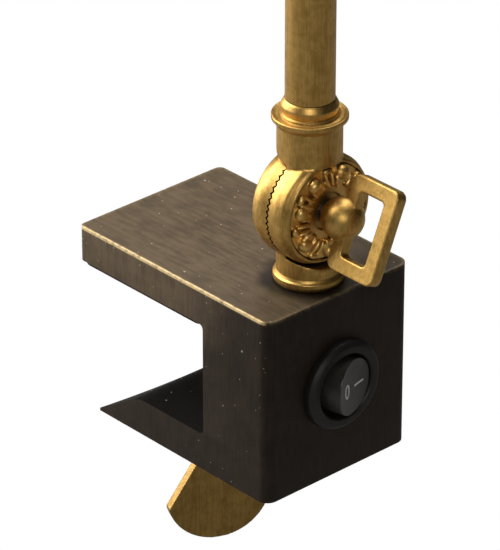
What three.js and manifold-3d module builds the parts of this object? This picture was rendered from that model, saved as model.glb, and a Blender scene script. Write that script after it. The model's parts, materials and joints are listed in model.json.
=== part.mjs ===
// Clip-on reading lamp: a C-shaped clamp block with a thumbscrew and a round rocker switch,
// a brass stem on a tilting joint with a loop key, and a crook arm that carries a bell shade
// on a second joint of the same kind.
//
// Millimetres. +Z is up, +X points out from the desk edge (the switch faces +X) and +Y runs
// along the edge. The origin is on the upper jaw pad's underside, which lies on the desk top,
// 22.6 mm from the mouth's inner wall.

import * as THREE from "three";
import { mergeVertices } from "three/addons/utils/BufferGeometryUtils.js";
import Module from "manifold-3d";

const wasm = await Module();
wasm.setup();

// ---------------------------------------------------------------- driving dimensions

const FIT = 0.3; // gap between pieces that touch

const BLOCK = {
  front: 46, // face with the switch
  back: -24, // nose of the upper jaw
  halfWidth: 24,
  top: 10.6,
  bottom: -40.4,
  upperUnderside: 1,
  lowerTop: -30.3,
  throat: 22.6, // mouth's inner wall
  cornerRadius: 3,
};
// The lower jaw's wedge nose; seen from above its edge is hollowed to an arc.
const NOSE = { tip: -17, tipHeight: 0.8, bevelStart: -2, hollow: 13 };
const PAD = { back: -23.2, front: 21.4, halfWidth: 23.4, thickness: 0.7 };
const POCKET = { back: 26.5, front: 43, halfWidth: 15 }; // hollow for the switch and the wiring
const COVER = {
  back: 25,
  front: 44.5,
  halfWidth: 21,
  thickness: 1.8,
  screwX: 6.6,
  screwY: 18,
  screwRadius: 1.2,
  screwHead: 2.3,
  headHeight: 0.8,
};

const STEM_X = 35; // axis of the stem and of its nipple
const LOWER_PIVOT = new THREE.Vector3(STEM_X, 0, 31.65);
const TUBE = { radius: 6.15, bore: 5.3, length: 180 };
const NIPPLE = { radius: 5, bore: 3.6, bottom: -4.2, top: LOWER_PIVOT.z - 17 };
const GLAND = { x: 34.75, z: -31, radius: 3.7, bore: 2.6, flange: 5.4 };

const JOINT = {
  radius: 14.4,
  thickness: 7.2, // from the split plane to a half's outer face
  face: 0.15, // from the split plane to a half's inner face
  chamberInner: 3.8,
  chamberOuter: 8.8,
  chamberDepth: 4,
  recessRadius: 12.9,
  recessDepth: 6.3,
  neckRadius: 8.1,
  neckClear: 15.1,
  neckEnd: 22,
  collarEnd: 28.5,
  footEnd: LOWER_PIVOT.z - BLOCK.top - FIT,
  screwHole: 2.6,
  wireHole: 2.4,
};
const UPPER_PIVOT = new THREE.Vector3(
  STEM_X,
  0,
  LOWER_PIVOT.z + 2 * (JOINT.collarEnd + FIT) + TUBE.length,
);

const KEY = {
  ballOut: 11.8, // ball centre from the split plane
  ballRadius: 5.5,
  loopStart: 12.3,
  loopEnd: 28.2,
  loopHalf: 12.3,
  bar: 4,
  thickness: 3.1,
  lean: THREE.MathUtils.degToRad(23),
  shankRadius: 2.3,
};

const SWITCH = {
  z: -14.5,
  bezelRadius: 12,
  bezelHeight: 3.1,
  openingRadius: 8.6,
  bodyRadius: 9.7,
  bodyBore: 8.95,
  bodyBack: 33.6,
  panelHole: 10,
  pivotOut: 0.6, // rocker pivot in front of the panel
  rockerRadius: 7.4,
  rockerFace: 4.2,
  rockerRoot: -3.5,
  tilt: THREE.MathUtils.degToRad(17),
};

// Flat terminals that stand out of the switch's back.
const BLADE = { y: 4, back: 27.6, halfWidth: 2.4, halfThickness: 0.4, holeX: 29.4, hole: 0.9 };

const SCREW = {
  x: 1.2,
  radius: 3,
  hole: 3.3,
  neckZ: -52,
  turn: THREE.MathUtils.degToRad(66), // paddle plane's angle from +X
  paddleCentre: -65.4,
  paddleRadius: 14.1,
  paddleCorner: THREE.MathUtils.degToRad(14), // corners' angle below the arc's centre
  paddleThickness: 3,
  paddleTop: 4.2, // half of the paddle's width at the hub
  rivet: 2.2, // end of the shank inside the paddle's boss
  boss: 4.6,
};
const FOOT = { radius: 3.5, bottom: -30, height: 2.6, pad: 1 };

const CROOK = { rise: 12, bend: 55, drop: 10.8 };
const HEAD_X = STEM_X - 2 * CROOK.bend;
const HEAD_TOP = UPPER_PIVOT.z + JOINT.collarEnd + FIT + CROOK.rise - CROOK.drop;
// Heights in the head are measured from the end of the crook arm.
const CAP = { radius: 22.6, bottom: -11.6 };
const SHADE = { radius: 55, height: 72, wall: 1.2, shoulder: 24, neckRadius: 18 };
const HOLDER = { radius: 16.2, wall: 0.8, bottom: -42 };
const BULB = { radius: 17.5, wall: 0.8, centre: -62, neck: 12.4, start: -43.7 };

// ---------------------------------------------------------------- solids

const ORIGIN = [0, 0, 0];
const DISC_SIDES = 28;
const NECK_SIDES = 20;
const SMALL_SIDES = 10;

// A closed three.js geometry as a manifold-3d solid, with its faces turned outwards.
function solidOf(geometry) {
  const loose = geometry.index ? geometry.toNonIndexed() : geometry;
  const bare = new THREE.BufferGeometry();
  bare.setAttribute("position", loose.getAttribute("position"));
  const merged = mergeVertices(bare, 1e-4);
  const points = merged.attributes.position.array;
  const corners = [];
  let volume = 0;
  for (let i = 0; i < merged.index.count; i += 3) {
    const [a, b, c] = merged.index.array.subarray(i, i + 3);
    if (a === b || b === c || c === a) continue;
    corners.push(a, b, c);
    const [p, q, r] = [a, b, c].map((v) => new THREE.Vector3().fromArray(points, 3 * v));
    volume += p.dot(q.cross(r));
  }
  if (volume < 0) corners.reverse();
  const mesh = new wasm.Mesh({
    numProp: 3,
    vertProperties: points,
    triVerts: new Uint32Array(corners),
  });
  return new wasm.Manifold(mesh);
}

function geometryOf(solid) {
  const mesh = solid.getMesh();
  const geometry = new THREE.BufferGeometry();
  geometry.setAttribute("position", new THREE.BufferAttribute(mesh.vertProperties, 3));
  geometry.setIndex(new THREE.BufferAttribute(mesh.triVerts, 1));
  geometry.computeVertexNormals();
  return geometry;
}

function box(x0, x1, y0, y1, z0, z1) {
  const geometry = new THREE.BoxGeometry(x1 - x0, y1 - y0, z1 - z0);
  geometry.translate((x0 + x1) / 2, (y0 + y1) / 2, (z0 + z1) / 2);
  return solidOf(geometry);
}

// Turns a shape made along +Y so that its length runs along the named axis.
function along(geometry, axis) {
  if (axis === "z") geometry.rotateX(Math.PI / 2);
  if (axis === "x") geometry.rotateZ(-Math.PI / 2);
  return geometry;
}

// A round bar from start to end along an axis through the point [x, y, z].
function rod(axis, radius, start, end, [x, y, z] = [0, 0, 0], sides = 28) {
  const geometry = new THREE.CylinderGeometry(radius, radius, end - start, sides);
  geometry.translate(0, (start + end) / 2, 0);
  return solidOf(along(geometry, axis).translate(x, y, z));
}

// A turned body from [radius, height] points, which start and end on the axis or close on
// themselves.
function turned(axis, points, [x, y, z] = [0, 0, 0], sides = 32) {
  const profile = points.map(([radius, height]) => new THREE.Vector2(radius, height));
  const geometry = new THREE.LatheGeometry(profile, sides);
  return solidOf(along(geometry, axis).translate(x, y, z));
}

function ring(axis, outer, inner, start, end, centre, sides) {
  const section = [
    [inner, start],
    [outer, start],
    [outer, end],
    [inner, end],
    [inner, start],
  ];
  return turned(axis, section, centre, sides);
}

// Points of an arc in [radius, height] form, from one angle to another in degrees.
function arc(centreRadius, centreHeight, radius, fromDegrees, toDegrees, steps = 4) {
  return Array.from({ length: steps + 1 }, (_, i) => {
    const angle = THREE.MathUtils.degToRad(fromDegrees + ((toDegrees - fromDegrees) * i) / steps);
    return [centreRadius + radius * Math.cos(angle), centreHeight + radius * Math.sin(angle)];
  });
}

// A flat outline with its corners rounded, extruded along +Z and centred on it.
function plate(corners, thickness, holes = [], bevel = 0) {
  const shape = rounded(new THREE.Shape(), corners);
  holes.forEach((hole) => shape.holes.push(rounded(new THREE.Path(), hole)));
  const geometry = new THREE.ExtrudeGeometry(shape, {
    depth: thickness - 2 * bevel,
    curveSegments: 2,
    bevelEnabled: bevel > 0,
    bevelThickness: bevel,
    bevelSize: bevel,
    bevelOffset: -bevel,
    bevelSegments: 1,
  });
  return geometry.translate(0, 0, bevel - thickness / 2);
}

// Draws [x, y, cornerRadius] corners as a closed path.
function rounded(path, corners) {
  const at = ([x, y]) => new THREE.Vector2(x, y);
  corners.forEach((corner, i) => {
    const here = at(corner);
    const before = at(corners[(i + corners.length - 1) % corners.length]);
    const after = at(corners[(i + 1) % corners.length]);
    const radius = corner[2] ?? 0;
    const start = here.clone().add(before.sub(here).setLength(radius));
    const end = here.clone().add(after.sub(here).setLength(radius));
    if (i === 0) path.moveTo(start.x, start.y);
    else path.lineTo(start.x, start.y);
    if (radius > 0) path.quadraticCurveTo(here.x, here.y, end.x, end.y);
  });
  path.closePath();
  return path;
}

function rectangle(x0, x1, y0, y1, radius = 0) {
  return [
    [x0, y0, radius],
    [x1, y0, radius],
    [x1, y1, radius],
    [x0, y1, radius],
  ];
}

// A tube of a round section with an optional bore, swept along a curve.
function swept(curve, radius, bore, steps, sides) {
  const section = new THREE.Shape().absarc(0, 0, radius, 0, 2 * Math.PI);
  if (bore) section.holes.push(new THREE.Path().absarc(0, 0, bore, 0, 2 * Math.PI, true));
  return new THREE.ExtrudeGeometry(section, {
    steps,
    curveSegments: sides,
    extrudePath: curve,
    bevelEnabled: false,
  });
}

// ---------------------------------------------------------------- materials and meshes

const finish = (color, roughness, metalness) =>
  new THREE.MeshStandardMaterial({ color, roughness, metalness });

const MATERIAL = {
  bronze: finish(0x2c2721, 0.45, 0.7),
  brass: finish(0x8f7440, 0.4, 0.95),
  steel: finish(0xa8a8a6, 0.35, 0.95),
  plastic: finish(0x161616, 0.4, 0),
  rubber: finish(0x1b1a19, 0.85, 0),
  enamel: finish(0xe9e3d2, 0.5, 0),
  glass: finish(0xf3efe4, 0.2, 0),
  wire: finish(0xb9a77c, 0.6, 0),
};

const lamp = new THREE.Group();

function add(name, shape, material, group = lamp) {
  const geometry = shape.isBufferGeometry ? shape : geometryOf(shape);
  const mesh = new THREE.Mesh(geometry, material);
  mesh.name = name;
  group.add(mesh);
  return mesh;
}

// ---------------------------------------------------------------- clamp block

// The two cover screws stand on a diagonal, clear of the cord bushing.
function coverScrew(side) {
  return [(COVER.back + COVER.front) / 2 + side * COVER.screwX, side * COVER.screwY, 0];
}

function clampBody() {
  const { front, back, halfWidth, top, bottom, cornerRadius } = BLOCK;
  const sideView = [
    [front, bottom, 1.5],
    [front, top, 1.5],
    [back, top, 1.5],
    [back, BLOCK.upperUnderside, 1.5],
    [BLOCK.throat, BLOCK.upperUnderside, 1.5],
    [BLOCK.throat, BLOCK.lowerTop, 1],
    [NOSE.bevelStart, BLOCK.lowerTop, 1.5],
    [NOSE.tip, bottom + NOSE.tipHeight],
    [NOSE.tip, bottom],
  ];
  // The outline is drawn in X and Z, so its extrusion is turned to run along Y.
  const side = solidOf(plate(sideView, 2 * halfWidth).rotateX(Math.PI / 2));
  const planView = rectangle(back, front, -halfWidth, halfWidth, cornerRadius);
  const plan = plate(planView, 2 * (top - bottom));
  const hollowRadius = (halfWidth ** 2 + NOSE.hollow ** 2) / (2 * NOSE.hollow);
  const hollowCentre = [NOSE.tip + NOSE.hollow - hollowRadius, 0, 0];
  const screwDepth = bottom + 12;
  const glandHole = rod("y", 4, POCKET.halfWidth - 1, halfWidth + 1, [GLAND.x, 0, GLAND.z], 24);

  let body = side.intersect(solidOf(plan));
  body = body.subtract(
    rod("z", hollowRadius, bottom - 1, BLOCK.lowerTop + 1, hollowCentre, 96),
  );
  body = body.subtract(
    box(
      POCKET.back,
      POCKET.front,
      -POCKET.halfWidth,
      POCKET.halfWidth,
      bottom - 1,
      BLOCK.upperUnderside,
    ),
  );
  body = body.subtract(
    box(
      COVER.back,
      COVER.front,
      -COVER.halfWidth,
      COVER.halfWidth,
      bottom - 1,
      bottom + COVER.thickness + FIT,
    ),
  );
  body = body.subtract(
    rod("x", SWITCH.panelHole, POCKET.front - 1, front + 1, [0, 0, SWITCH.z], 32),
  );
  body = body.subtract(rod("z", NIPPLE.radius + FIT, 0, top + 1, [STEM_X, 0, 0], 24));
  body = body.subtract(rod("z", SCREW.hole, bottom - 1, BLOCK.lowerTop + 1, [SCREW.x, 0, 0], 24));
  body = body.subtract(glandHole);
  for (const side of [-1, 1]) {
    const screwHole = rod("z", COVER.screwRadius + FIT, bottom, screwDepth, coverScrew(side), 10);
    body = body.subtract(screwHole);
  }
  return body;
}

function clampGroup() {
  const { bottom } = BLOCK;
  add("clamp_body", clampBody(), MATERIAL.bronze);

  const padOutline = rectangle(PAD.back, PAD.front, -PAD.halfWidth, PAD.halfWidth, 2.4);
  const pad = plate(padOutline, PAD.thickness);
  add("upper_jaw_pad", pad.translate(0, 0, PAD.thickness / 2), MATERIAL.rubber);

  const halfY = COVER.halfWidth - FIT;
  let cover = box(
    COVER.back + FIT,
    COVER.front - FIT,
    -halfY,
    halfY,
    bottom,
    bottom + COVER.thickness,
  );
  for (const side of [-1, 1]) {
    const centre = coverScrew(side);
    cover = cover.subtract(rod("z", COVER.screwRadius + FIT, bottom - 1, bottom + 3, centre, 10));
    const sink = bottom + COVER.headHeight + FIT;
    cover = cover.subtract(rod("z", COVER.screwHead + FIT, bottom - 1, sink, centre, 12));
    const screw = turned(
      "z",
      [
        [0, bottom + 0.1],
        [COVER.screwHead, bottom + 0.1],
        [COVER.screwHead, bottom + COVER.headHeight],
        [COVER.screwRadius, bottom + COVER.headHeight],
        [COVER.screwRadius, bottom + 9],
        [0, bottom + 10],
      ],
      centre,
      12,
    );
    const [x, y] = centre;
    const slot = box(x - 3, x + 3, y - 0.35, y + 0.35, bottom - 1, bottom + 0.5);
    add(side < 0 ? "cover_screw_left" : "cover_screw_right", screw.subtract(slot), MATERIAL.steel);
  }
  add("bottom_cover", cover, MATERIAL.bronze);

  const gland = turned(
    "y",
    [
      [GLAND.bore, POCKET.halfWidth - 1.5],
      [GLAND.radius, POCKET.halfWidth - 1.5],
      [GLAND.radius, BLOCK.halfWidth + FIT],
      [GLAND.flange, BLOCK.halfWidth + FIT],
      [GLAND.flange - 0.8, BLOCK.halfWidth + 2.2],
      [GLAND.bore + 0.6, BLOCK.halfWidth + 2.2],
      [GLAND.bore, BLOCK.halfWidth + 1.4],
      [GLAND.bore, POCKET.halfWidth - 1.5],
    ],
    [GLAND.x, 0, GLAND.z],
    16,
  );
  add("cord_bushing", gland, MATERIAL.rubber);

  const stemAxis = [STEM_X, 0, 0];
  add(
    "stem_nipple",
    ring("z", NIPPLE.radius, NIPPLE.bore, NIPPLE.bottom, NIPPLE.top, stemAxis, 24),
    MATERIAL.brass,
  );
  add(
    "nipple_washer",
    ring("z", 7.4, NIPPLE.radius + FIT, -0.4, BLOCK.upperUnderside - FIT, stemAxis, 24),
    MATERIAL.steel,
  );
  const nut = rod("z", 7.6, -3.7, -0.7, stemAxis, 6);
  const nutHole = rod("z", NIPPLE.radius + FIT, -5, 1, stemAxis, 24);
  add("nipple_nut", nut.subtract(nutHole), MATERIAL.steel);
}

// ---------------------------------------------------------------- rocker switch

function switchGroup() {
  const { front } = BLOCK;
  const centre = [0, 0, SWITCH.z];
  const lip = front + SWITCH.bezelHeight;
  const housing = turned(
    "x",
    [
      [0, SWITCH.bodyBack],
      [SWITCH.bodyRadius, SWITCH.bodyBack],
      [SWITCH.bodyRadius, front + FIT],
      [SWITCH.bezelRadius, front + FIT],
      ...arc(SWITCH.bezelRadius - 1.6, lip - 1.4, 1.5, 0, 90, 2),
      [SWITCH.openingRadius + 0.4, lip],
      [SWITCH.openingRadius, lip - 0.5],
      [SWITCH.openingRadius, lip - 1.1],
      [SWITCH.bodyBore, lip - 1.5],
      [SWITCH.bodyBore, SWITCH.bodyBack + 1.2],
      [0, SWITCH.bodyBack + 1.2],
    ],
    centre,
    28,
  );
  const blades = [
    ["terminal_supply", BLADE.y],
    ["terminal_lamp", -BLADE.y],
  ];
  let body = housing;
  for (const [name, y] of blades) {
    const sides = (gap) => [
      y - BLADE.halfThickness - gap,
      y + BLADE.halfThickness + gap,
      SWITCH.z - BLADE.halfWidth - gap,
      SWITCH.z + BLADE.halfWidth + gap,
    ];
    body = body.subtract(box(SWITCH.bodyBack - 1, SWITCH.bodyBack + 3, ...sides(FIT)));
    const blade = box(BLADE.back, SWITCH.bodyBack + 3.4, ...sides(0));
    const eye = rod("y", BLADE.hole, -9, 9, [BLADE.holeX, 0, SWITCH.z], 12);
    add(name, blade.subtract(eye), MATERIAL.brass);
  }
  add("switch_housing", body, MATERIAL.plastic);

  const pivot = new THREE.Group();
  pivot.position.set(front + SWITCH.pivotOut, 0, SWITCH.z);
  pivot.rotation.z = SWITCH.tilt;
  lamp.add(pivot);
  const paddle = turned(
    "x",
    [
      [0, SWITCH.rockerRoot],
      [SWITCH.rockerRadius, SWITCH.rockerRoot],
      [SWITCH.rockerRadius, SWITCH.rockerFace - 0.5],
      [SWITCH.rockerRadius - 0.5, SWITCH.rockerFace],
      [0, SWITCH.rockerFace],
    ],
    ORIGIN,
    32,
  );
  add("switch_rocker", paddle, MATERIAL.plastic, pivot);
}

// ---------------------------------------------------------------- thumbscrew and foot

function thumbscrewGroup() {
  const axis = [SCREW.x, 0, 0];
  const shoulder = FOOT.bottom - 0.6;
  const shank = turned(
    "z",
    [
      [0, SCREW.neckZ - 5],
      [SCREW.rivet, SCREW.neckZ - 5],
      [SCREW.rivet, SCREW.neckZ - FIT],
      [SCREW.radius, SCREW.neckZ + 0.3],
      [SCREW.radius, shoulder - 0.8],
      [SCREW.radius - 0.8, shoulder],
      [1.8, shoulder],
      [1.8, shoulder + 1.7],
      [0, shoulder + 1.7],
    ],
    axis,
    16,
  );
  add("thumbscrew_shank", shank, MATERIAL.brass);

  const { paddleCentre: centre, paddleRadius: radius, paddleCorner: corner } = SCREW;
  const outline = new THREE.Shape();
  outline.moveTo(-SCREW.paddleTop, SCREW.neckZ - 1);
  outline.absarc(0, centre, radius, Math.PI + corner, 2 * Math.PI - corner, false);
  outline.lineTo(SCREW.paddleTop, SCREW.neckZ - 1);
  outline.closePath();
  const blade = new THREE.ExtrudeGeometry(outline, {
    depth: SCREW.paddleThickness - 1.2,
    curveSegments: 12,
    bevelThickness: 0.6,
    bevelSize: 0.6,
    bevelOffset: -0.6,
    bevelSegments: 1,
  });
  blade.translate(0, 0, (1.2 - SCREW.paddleThickness) / 2).rotateX(Math.PI / 2);
  const boss = rod("z", SCREW.boss, SCREW.neckZ - 5.5, SCREW.neckZ - 0.5, ORIGIN, NECK_SIDES);
  const socketRadius = SCREW.rivet + FIT;
  const socketEnd = SCREW.neckZ - 5 - FIT;
  const socket = rod("z", socketRadius, socketEnd, SCREW.neckZ + 2, ORIGIN, NECK_SIDES);
  const paddle = geometryOf(solidOf(blade).add(boss).subtract(socket));
  paddle.rotateZ(SCREW.turn).translate(SCREW.x, 0, 0);
  add("thumbscrew_paddle", paddle, MATERIAL.brass);

  const footTop = FOOT.bottom + FOOT.height;
  const foot = turned(
    "z",
    [
      [0, FOOT.bottom + 1.4],
      [2.1, FOOT.bottom + 1.4],
      [2.1, FOOT.bottom],
      [FOOT.radius - 0.6, FOOT.bottom],
      [FOOT.radius, FOOT.bottom + 0.6],
      [FOOT.radius, footTop],
      [0, footTop],
    ],
    axis,
    24,
  );
  add("pressure_foot", foot, MATERIAL.brass);
  add(
    "foot_pad",
    rod("z", FOOT.radius, footTop + FIT, footTop + FIT + FOOT.pad - 0.4, axis, 24),
    MATERIAL.rubber,
  );
}

// ---------------------------------------------------------------- tilting joint

// One half of the joint, about the pivot at the origin, with its disc on the +X side and its
// neck towards +Z. The front half is recessed for the rosette. A foot ends in a flange for the
// clamp block, any other half in a tube collar.
function jointHalf(front, foot) {
  const { radius, thickness, face, recessRadius, neckRadius } = JOINT;
  const corner = front ? 1 : 2.4;
  const disc = [
    [0, face],
    [JOINT.chamberInner, face],
    [JOINT.chamberInner, JOINT.chamberDepth],
    [JOINT.chamberOuter, JOINT.chamberDepth],
    [JOINT.chamberOuter, face],
    [radius, face],
    ...arc(radius - corner, thickness - corner, corner, 0, 90, 2),
    [0, thickness],
  ];
  const end = foot ? JOINT.footEnd : JOINT.collarEnd;
  const neckEnd = foot ? end - 1.6 : JOINT.neckEnd;
  const neck = rod("z", neckRadius, JOINT.chamberOuter + 1, neckEnd, ORIGIN, NECK_SIDES);
  const sweep = rod("x", JOINT.neckClear, -20, face, ORIGIN, DISC_SIDES);
  const recess = rod("x", recessRadius, JOINT.recessDepth, 20, ORIGIN, DISC_SIDES);
  const screwHole = rod("x", JOINT.screwHole, -5, front ? 20 : 5.5, ORIGIN, SMALL_SIDES);
  const wireHole = rod("z", JOINT.wireHole, 6, end + 12, ORIGIN, SMALL_SIDES);

  let half = turned("x", disc, ORIGIN, DISC_SIDES).add(neck.subtract(sweep));
  if (front) half = half.subtract(recess);

  if (foot) {
    const flange = [
      [0, end - 3.6],
      [neckRadius, end - 3.6],
      [neckRadius + 0.2, end - 2.6],
      ...arc(8, end - 1.25, 1, -60, 90, 3),
      [8.2, end],
      [0, end],
    ];
    half = half.add(turned("z", flange, ORIGIN, NECK_SIDES));
    const seat = LOWER_PIVOT.z - NIPPLE.top - FIT;
    const nippleHole = rod("z", NIPPLE.radius + FIT, seat, end + 1, ORIGIN, NECK_SIDES);
    return half.subtract(nippleHole).subtract(screwHole).subtract(wireHole);
  }
  const collar = [
    [0, 21],
    [neckRadius, 21],
    [neckRadius + 0.1, 22.2],
    [8.4, 23],
    ...arc(8.6, 24, 0.7, -45, 80, 2),
    [7.5, 24.9],
    ...arc(6.2, 26.4, 0.75, -60, 60, 2),
    [6.3, 27.8],
    [6.2, end],
    [5, end],
    [5, end + 11],
    [0, end + 11],
  ];
  half = half.add(turned("z", collar, ORIGIN, NECK_SIDES));
  return half.subtract(screwHole).subtract(wireHole);
}

// The loop key: a ball on the pivot line with a flat rectangular loop, and the shank that it turns.
function addKey(prefix, pivot) {
  const { loopStart, loopEnd, loopHalf, bar } = KEY;
  const outer = rectangle(loopStart, loopEnd, -loopHalf, loopHalf, 2.6);
  const gapHalf = loopHalf - bar;
  const inner = rectangle(loopStart + bar - 0.3, loopEnd - bar, -gapHalf, gapHalf, 1.6);
  const loop = plate(outer, KEY.thickness, [inner], 0.6).rotateX(Math.PI / 2 - KEY.lean);
  const ball = new THREE.SphereGeometry(KEY.ballRadius, 20, 12).rotateZ(Math.PI / 2);
  ball.translate(KEY.ballOut, 0, 0);
  const shankEnd = KEY.ballOut - 1.4;
  const socket = rod("x", KEY.shankRadius + FIT, 0, shankEnd + FIT, ORIGIN, SMALL_SIDES);
  const key = solidOf(loop).add(solidOf(ball)).subtract(socket);
  add(`${prefix}_key_loop`, key, MATERIAL.brass, pivot);
  const shank = rod("x", KEY.shankRadius, -5.2, shankEnd, ORIGIN, SMALL_SIDES);
  add(`${prefix}_key_shank`, shank, MATERIAL.steel, pivot);
}

// Leafy boss in the front half's recess, with a seat for the key's ball.
function addRosette(name, pivot) {
  const rosette = [
    [4.9, JOINT.recessDepth + FIT],
    [12.5, JOINT.recessDepth + FIT],
    [12.5, 7.2],
    [11.2, 8.2],
    [6.4, 8.6],
    [4.9, 7.9],
    [4.9, JOINT.recessDepth + FIT],
  ];
  add(name, turned("x", rosette, ORIGIN, 24), MATERIAL.brass, pivot);
}

// The half that hangs below the pivot: a half turn sends its neck down and its disc to -X.
function lowerHalf(foot) {
  return geometryOf(jointHalf(false, foot)).rotateY(Math.PI);
}

function jointGroup(place, facing) {
  const pivot = new THREE.Group();
  pivot.position.copy(place);
  pivot.rotation.z = facing;
  lamp.add(pivot);
  return pivot;
}

function jointGroups() {
  const lower = jointGroup(LOWER_PIVOT, 0);
  add("stem_foot", lowerHalf(true), MATERIAL.brass, lower);
  add("stem_knuckle", jointHalf(true, false), MATERIAL.brass, lower);
  addRosette("lower_rosette", lower);
  addKey("lower", lower);

  const upper = jointGroup(UPPER_PIVOT, -Math.PI / 2);
  add("stem_head", lowerHalf(false), MATERIAL.brass, upper);
  add("arm_knuckle", jointHalf(true, false), MATERIAL.brass, upper);
  addRosette("upper_rosette", upper);
  addKey("upper", upper);
}

// ---------------------------------------------------------------- stem, arm and head

// Half circle in the XZ plane, from one point over the top to the other.
class HalfTurn extends THREE.Curve {
  constructor(from, to) {
    super();
    this.centre = from.clone().add(to).multiplyScalar(0.5);
    this.radius = from.distanceTo(to) / 2;
  }
  getPoint(t, target = new THREE.Vector3()) {
    const angle = Math.PI * t;
    return target
      .set(this.radius * Math.cos(angle), 0, this.radius * Math.sin(angle))
      .add(this.centre);
  }
}

function crookPath() {
  const foot = UPPER_PIVOT.z + JOINT.collarEnd + FIT;
  const crown = foot + CROOK.rise;
  const up = [new THREE.Vector3(STEM_X, 0, foot), new THREE.Vector3(STEM_X, 0, crown)];
  const down = [new THREE.Vector3(HEAD_X, 0, crown), new THREE.Vector3(HEAD_X, 0, HEAD_TOP)];
  const path = new THREE.CurvePath();
  path.add(new THREE.LineCurve3(...up));
  path.add(new HalfTurn(up[1], down[0]));
  path.add(new THREE.LineCurve3(...down));
  return path;
}

function tubes() {
  const start = LOWER_PIVOT.z + JOINT.collarEnd + FIT;
  const stemAxis = [STEM_X, 0, 0];
  const tube = ring("z", TUBE.radius, TUBE.bore, start, start + TUBE.length, stemAxis, 32);
  add("stem_tube", tube, MATERIAL.brass);
  const leadStart = LOWER_PIVOT.z + 18;
  const leadEnd = UPPER_PIVOT.z - 18;
  add("stem_lead", rod("z", 1.3, leadStart, leadEnd, stemAxis, 10), MATERIAL.wire);

  const path = crookPath();
  add("crook_arm", swept(path, TUBE.radius, TUBE.bore, 16, 7), MATERIAL.brass);
  add("arm_lead", swept(path, 1.3, 0, 16, 3), MATERIAL.wire);
}

function headGroup() {
  const head = new THREE.Group();
  head.position.set(HEAD_X, 0, HEAD_TOP);
  lamp.add(head);

  const cap = [
    [TUBE.radius + FIT, 6],
    [8.2, 6],
    [8.6, 5],
    [8.2, 3.6],
    [8.6, 2.4],
    ...arc(8.6, -12.4, 13.4, 84, 8, 4),
    [CAP.radius, CAP.bottom + 1.2],
    [CAP.radius, CAP.bottom],
    [5, CAP.bottom],
    [5, -FIT],
    [TUBE.radius + FIT, -FIT],
    [TUBE.radius + FIT, 6],
  ];
  add("shade_cap", turned("z", cap, ORIGIN, 24), MATERIAL.brass, head);

  const shadeTop = CAP.bottom - FIT;
  const shadeBottom = shadeTop - SHADE.height;
  const outer = [
    [SHADE.neckRadius, shadeTop],
    [SHADE.shoulder, shadeTop],
    ...shadeCurve(shadeTop, shadeBottom, 0),
  ];
  const inner = shadeCurve(shadeTop, shadeBottom, SHADE.wall).reverse();
  const section = [
    ...outer,
    [SHADE.radius, shadeBottom],
    [SHADE.radius - SHADE.wall, shadeBottom],
    ...inner,
    [SHADE.shoulder - 0.6, shadeTop - SHADE.wall],
    [SHADE.neckRadius, shadeTop - SHADE.wall],
    [SHADE.neckRadius, shadeTop],
  ];
  add("shade", turned("z", section, ORIGIN, 28), MATERIAL.bronze, head);

  const holderTop = shadeTop - SHADE.wall - FIT;
  const shadeRing = ring("z", 21, 16.6, holderTop - 3.4, holderTop, ORIGIN, 24);
  add("shade_ring", shadeRing, MATERIAL.plastic, head);
  const shellTop = shadeTop - 0.1;
  const shell = [
    [3, shellTop],
    [HOLDER.radius, shellTop],
    [HOLDER.radius, HOLDER.bottom],
    [HOLDER.radius - HOLDER.wall, HOLDER.bottom],
    [HOLDER.radius - HOLDER.wall, shellTop - 1.2],
    [3, shellTop - 1.2],
    [3, shellTop],
  ];
  add("lampholder_shell", turned("z", shell, ORIGIN, 24), MATERIAL.brass, head);
  add("lampholder_base", ring("z", 15, 2.6, -21, -13.6, ORIGIN, 20), MATERIAL.enamel, head);
  add("screw_shell", ring("z", 14.4, 13.9, -40.5, -21.4, ORIGIN, 24), MATERIAL.brass, head);
  add("centre_contact", rod("z", 3, -22.6, -21.3, ORIGIN, 12), MATERIAL.brass, head);

  const base = [
    [0, -23],
    [4, -23],
    [8, -25.4],
    [13.2, -26],
    [13.2, -43.4],
    [12.4, -43.4],
    [12.4, -26.8],
    [7.6, -26.2],
    [3.7, -23.8],
    [0, -23.8],
  ];
  add("bulb_base", turned("z", base, ORIGIN, 20), MATERIAL.steel, head);
  const globe = (radius, neck) => [
    [neck, BULB.start],
    [neck + 0.2, BULB.start - 4.3],
    ...arc(0, BULB.centre, radius, 40, -90, 7).slice(0, -1),
    [0, BULB.centre - radius],
  ];
  const outside = globe(BULB.radius, BULB.neck);
  const inside = globe(BULB.radius - BULB.wall, BULB.neck - BULB.wall).reverse();
  const bulb = [...outside, ...inside, outside[0]];
  add("bulb_globe", turned("z", bulb, ORIGIN, 20), MATERIAL.glass, head);
}

// Bell line of the shade, inset by a wall thickness: a quarter ellipse that flares a little to
// the rim.
function shadeCurve(top, bottom, inset) {
  const steps = 7;
  const start = SHADE.shoulder;
  return Array.from({ length: steps }, (_, i) => {
    const angle = ((i + 1) / steps) * (Math.PI / 2);
    const reach = SHADE.radius - start;
    const radius = start + reach * Math.sin(angle) ** 0.8;
    const height = top + (bottom - top) * (1 - Math.cos(angle));
    return [radius - inset, Math.max(height, bottom)];
  }).slice(0, -1);
}

// ---------------------------------------------------------------- wiring inside the clamp block

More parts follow.
